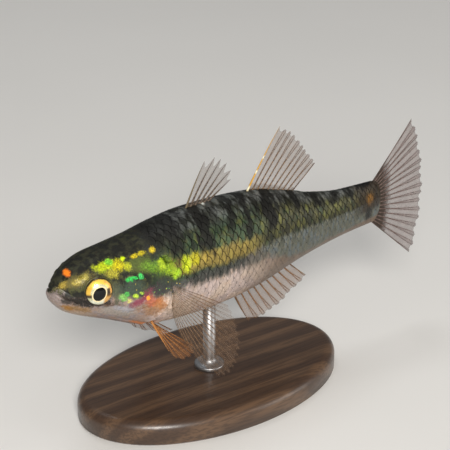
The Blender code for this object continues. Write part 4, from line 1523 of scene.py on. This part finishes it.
@dataclass
class FinSet:
    """All eight fins, on the same lines as the solids."""

    amber: FinTone = FinTone(
        (0.14, 0.078, 0.040), (0.34, 0.20, 0.11), (0.20, 0.11, 0.055), (0.24, 0.155, 0.10), 0.10,
        root=(0.44, 0.33, 0.20), sheath=0.10, sheath_ends=(0.08, 0.36), faint=0.30,
    )
    copper: FinTone = FinTone(
        (0.22, 0.115, 0.055), (0.44, 0.27, 0.15), (0.20, 0.11, 0.055), (0.20, 0.115, 0.075), 0.24,
    )
    smoke: FinTone = FinTone(
        (0.080, 0.056, 0.040), (0.30, 0.22, 0.15), (0.17, 0.13, 0.075), (0.14, 0.095, 0.070), 0.20,
    )
    golden: FinTone = FinTone(
        (0.12, 0.070, 0.040), (0.36, 0.22, 0.11), (0.62, 0.34, 0.05), (0.17, 0.105, 0.075), 0.22, glint=1.0,
    )
    rust: FinTone = FinTone(
        (0.30, 0.12, 0.035), (0.52, 0.26, 0.095), (0.46, 0.19, 0.05), (0.32, 0.15, 0.070), 0.20,
    )
    mauve: FinTone = FinTone(
        (0.11, 0.072, 0.060), (0.27, 0.185, 0.16), (0.13, 0.085, 0.070), (0.165, 0.105, 0.095), 0.32,
        root=(0.026, 0.018, 0.011), sheath=0.94, sheath_ends=(0.22, 0.52),
    )
    clear: float = 0.33
    sweep: float = 0.26

    def upright(
        self, name: str, ends: tuple[float, float], count: int, leans: Sequence[float],
        reaches: Sequence[float],
        side: float, notch: float, tone: FinTone, spines: int, girth: float,
    ) -> FinPlan:
        """A fin on the midline, whose rays lean back from the upright by given degrees."""
        x = np.linspace(*ends, count)
        feet = np.stack([x, 0 * x, FORM.ridge(x, side) + side * self.clear], 1)
        lean = np.radians(even(leans, count))
        aims = np.stack([np.sin(lean), 0 * lean, side * np.cos(lean)], 1)
        lengths = even(reaches, count)
        bows = np.stack([0.06 * lengths, 0 * lengths, 0 * lengths], 1)
        across = np.tile([0.0, 1.0, 0.0], (count, 1))
        return FinPlan(
            name, feet, aims, lengths, across, bows, tone, spines, notch=notch, girth=girth, ripple=0.16,
            sunk=0.75,
        )

    def tail(self) -> FinPlan:
        """The tail fin, a fan from the end of the body."""
        share = np.linspace(-1, 1, 17)
        middle = (FORM.ridge(60.0, 1) + FORM.ridge(60.0, -1)) / 2
        feet = np.stack([60.3 + 0 * share, 0 * share, middle + 3.3 * share], 1)
        angle = np.radians(3.0 + 46.0 * share)
        aims = np.stack([np.cos(angle), 0 * angle, np.sin(angle)], 1)
        across = np.tile([0.0, 1.0, 0.0], (17, 1))
        reaches = 11.3 + 1.5 * share ** 2
        return FinPlan(
            "tail_fin", feet, aims, reaches, across, 0 * feet, self.mauve, notch=0.965, girth=0.13,
            ripple=0.22, sunk=0.9,
        )

    def paired(
        self, name: str, side: Side, x: Array, turn: Array, aims: Array, reaches: Array, tone: FinTone,
        spines: int, girth: float,
    ) -> FinPlan:
        """A fin that fans out from a short line on the skin, mirrored for the right side."""
        feet = FORM.point(x, turn) + FORM.outward(x, turn) * 0.45
        across = unit(np.cross(aims, feet[-1] - feet[0]))
        mirror = side.mirror
        sweep = 0.0 if spines else self.sweep
        bows = np.linspace(0, 1, len(x))[:, None] ** 2 * reaches[:, None] * [sweep, 0.0, 0.0]
        slender = 1.0 if spines else 0.38
        return FinPlan(
            name, feet * mirror, aims * mirror, reaches, across * mirror, bows, tone, spines,
            twice=spines > 0, notch=0.955, girth=girth, ripple=0.13, sunk=0.7, slender=slender,
        )

    def pectoral(self, side: Side) -> FinPlan:
        """A pectoral fin, a broad fan held down and a little away from the flank."""
        count = 17
        down = np.radians(even((28.0, 88.0), count))
        flare = even((0.5, 0.15), count)
        aims = unit(np.stack([np.cos(down), -flare, -np.sin(down)], 1))
        reaches = np.interp(np.linspace(0, 1, count), (0, 0.34, 0.6, 0.78, 1), (8.3, 13.3, 15.0, 14.0, 6.5))
        x, turn = even((17.9, 17.0), count), even((1.50, 1.90), count)
        return self.paired(f"pectoral_{side.word}", side, x, turn, aims, reaches, self.amber, 0, 0.075)

    def pelvic(self, side: Side) -> FinPlan:
        """A pelvic fin: a spine and five forked rays."""
        ends = ((0.28, -0.41, -0.86), (0.78, -0.11, -0.61))
        aims = unit(np.stack([even(pair, 6) for pair in zip(*ends)], 1))
        reaches = np.interp(np.linspace(0, 1, 6), (0, 0.3, 0.75, 1), (4.8, 7.4, 9.3, 8.7))
        x, turn = even((15.2, 16.5), 6), even((2.53, 2.87), 6)
        return self.paired(f"pelvic_{side.word}", side, x, turn, aims, reaches, self.rust, 1, 0.13)

    def build(self) -> None:
        """Makes all fins."""
        front = self.upright(
            "front_dorsal", (23.9, 28.2), 6, (24.5, 29, 34, 41, 48, 56), (7.3, 7.9, 7.6, 7.0, 5.9, 4.3),
            1, 0.84, self.smoke, 6, 0.12,
        )
        rear = self.upright(
            "rear_dorsal", (35.3, 44.2), 10, (31, 35, 40, 44, 49), (10.7, 10.0, 8.4, 6.9, 5.4),
            1, 0.95, self.golden, 1, 0.12,
        )
        anal = self.upright(
            "anal_rays", (32.6, 43.4), 10, (24, 29, 35, 40, 46), (6.8, 7.3, 6.7, 5.9, 5.0),
            -1, 0.95, self.copper, 1, 0.17,
        )
        plans = {"dorsal_fin_front": front, "dorsal_fin_rear": rear, "anal_fin": anal}
        plans["caudal_fin"] = self.tail()
        for node, plan in plans.items():
            RayFin(plan, (node,)).build()
        for side in Side:
            RayFin(self.pectoral(side), (f"pectoral_fin_{side.word}",)).build()
            RayFin(self.pelvic(side), (f"pelvic_fin_{side.word}",)).build()


# Assembly


@dataclass
class Fish:
    """The whole animal: skin, scales, eyes and fins."""

    flesh: tuple[str, ...] = (
        "head", "lower_jaw", "gill_cover_left", "gill_cover_right", "trunk", "tail_stem",
    )

    def build(self) -> None:
        """Makes every piece of the fish."""
        settle(Skin().build(SkinFinish().make()), self.flesh)
        settle(ScaleCoat().build(ScaleFinish().make()), ())
        finish = EyeFinish().make()
        for eye in EYES:
            settle(eye.build(finish), (f"eye_{eye.side.word}",))
        FinSet().build()


@dataclass
class Stand:
    """The display stand: an oval wooden base with a rounded edge, and a steel rod in a collar."""

    halves: tuple[float, float] = (23.0, 14.0)
    thickness: float = 4.0
    foot: float = 0.4
    edge_start: float = 2.4
    edge_inset: float = 1.9
    rod: float = 1.0
    collar: float = 2.4
    collar_height: float = 0.7
    fillet: float = 1.0
    reach: float = 0.1
    lip: float = 0.2
    bevel: float = 0.06
    sunk: float = 0.05
    arc_points: int = 14
    base_sides: int = 160
    rod_sides: int = 48

    def turned(
        self, name: str, rings: Array, sides: int, finish: bpy.types.Material, node: str
    ) -> None:
        """Makes a piece of oval rings (a cos t, b sin t) over the rod's foot, closed at both ends.

        Args:
            name: The piece's name.
            rings: A row of half length, half width and height over the floor for each ring, going up.
            sides: Number of points in a ring.
            finish: Its material.
            node: The node that it stands for.
        """
        angle = np.linspace(0, 2 * np.pi, sides, endpoint=False)
        a, b, height = rings.T[:, :, None]
        place = (ROD_AT + a * np.cos(angle), b * np.sin(angle), height - AXIS_HEIGHT)
        points = np.stack(np.broadcast_arrays(*place), -1)
        faces = grid_faces(len(rings), sides, around=True).tolist()
        ring = np.arange(sides)
        caps = [ring[::-1].tolist(), (ring + (len(rings) - 1) * sides).tolist()]
        settle(make_piece(name, points, faces + caps, [finish]), (node,))

    def build(self) -> None:
        """Makes the base, whose edge ends in a quarter of an oval, and the rod with its collar's fillet."""
        quarter = np.linspace(0, np.pi / 2, self.arc_points)
        inset = np.concatenate([[self.foot, 0], self.edge_inset * (1 - np.cos(quarter))])
        edge = self.edge_start + (self.thickness - self.edge_start) * np.sin(quarter)
        levels = np.concatenate([[0, self.foot], edge])
        rings = np.stack([self.halves[0] - inset, self.halves[1] - inset, levels], 1)
        self.turned("walnut_base", rings, self.base_sides, WoodFinish().make(), "stand_base")
        hollow = self.rod + (self.collar - self.lip - self.rod) * (1 - np.sin(quarter))
        radius = np.concatenate([[self.collar, self.collar, self.collar - self.bevel], hollow, [self.rod]])
        shoulder = [-self.sunk, self.collar_height - self.lip, self.collar_height - self.bevel]
        curve = self.collar_height + self.fillet * (1 - np.cos(quarter))
        rise = np.concatenate([shoulder, curve])
        top = FORM.ridge(np.array([ROD_AT]), -1) + AXIS_HEIGHT + self.reach
        height = np.concatenate([self.thickness + rise, top])
        rings = np.stack([radius, radius, height], 1)
        self.turned("steel_rod", rings, self.rod_sides, SteelFinish().make(), "stand_rod")


@dataclass
class Studio:
    """A plain pale floor, soft lights and the camera at the photograph's angle."""

    azimuth: float = -35.0
    elevation: float = 25.44
    distance: float = 0.25
    lens: float = 129.5
    floor_half: float = 1.5
    aim: tuple[float, float, float] = (0.00306, 0.0, 0.02798)
    lights: tuple[tuple[str, tuple[float, float, float], float, float, Colour], ...] = (
        ("key", (-0.27, -0.47, 0.36), 0.22, 4.3, (1.0, 0.97, 0.93)),
        ("top", (0.02, 0.22, 0.66), 0.26, 0.9, (0.96, 0.98, 1.0)),
        ("fill", (0.42, -0.42, 0.12), 0.34, 1.1, (1.0, 0.98, 0.95)),
    )

    def build(self) -> None:
        """Makes floor, world, lights and camera."""
        self.floor()
        self.world()
        for name, place, size, power, colour in self.lights:
            self.light(name, place, size, power, colour)
        self.camera()

    def floor(self) -> None:
        """A wide plane under the stand."""
        net = Net("pale_floor")
        grain = net.noise(net.millimetres(), 0.02, 2.0)
        colour = net.mix(grain, (0.76, 0.745, 0.715), (0.80, 0.785, 0.755))
        material = net.surface({"Base Color": colour, "Roughness": 0.75})
        mesh = bpy.data.meshes.new("floor")
        half = self.floor_half
        ends = [(-half, -half, 0), (half, -half, 0), (half, half, 0), (-half, half, 0)]
        mesh.from_pydata(ends, [], [(0, 1, 2, 3)])
        mesh.materials.append(material)
        item = bpy.data.objects.new("floor", mesh)
        bpy.context.scene.collection.objects.link(item)

    def world(self) -> None:
        """A dim, even surround."""
        world = bpy.data.worlds.new("studio")
        world.use_nodes = True
        background = world.node_tree.nodes["Background"]
        background.inputs[0].default_value = (0.80, 0.81, 0.83, 1.0)
        background.inputs[1].default_value = 0.20
        bpy.context.scene.world = world

    def light(
        self, name: str, place: tuple[float, float, float], size: float, power: float, colour: Colour
    ) -> None:
        """A square area light aimed at the fish."""
        data = bpy.data.lights.new(name, "AREA")
        data.size = size
        data.energy = power
        data.color = colour
        item = bpy.data.objects.new(name, data)
        item.location = place
        item.rotation_euler = (Vector(self.aim) - Vector(place)).to_track_quat("-Z", "Y").to_euler()
        bpy.context.scene.collection.objects.link(item)

    def camera(self) -> None:
        """The camera of the photograph: a long lens from ahead, to the left and above."""
        azimuth, elevation = math.radians(self.azimuth), math.radians(self.elevation)
        level = math.cos(elevation)
        back = Vector((math.sin(azimuth) * level, -math.cos(azimuth) * level, math.sin(elevation)))
        data = bpy.data.cameras.new("camera")
        data.lens = self.lens
        data.sensor_width = 36.0
        data.clip_start = 0.01
        item = bpy.data.objects.new("camera", data)
        item.location = Vector(self.aim) + back * self.distance
        item.rotation_euler = (-back).to_track_quat("-Z", "Y").to_euler()
        bpy.context.scene.collection.objects.link(item)
        bpy.context.scene.camera = item
        bpy.context.scene.view_settings.view_transform = "Standard"


def corners(box: tuple[Vector, Vector]) -> list[list[float]]:
    """A box's two corners as plain lists."""
    return [[round(value, 6) for value in corner] for corner in box]


def main() -> None:
    """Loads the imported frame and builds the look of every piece."""
    logging.basicConfig(level=logging.INFO, format="%(name)s: %(message)s")
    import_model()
    Studio().build()
    Fish().build()
    Stand().build()


if __name__ == "__main__":
    main()
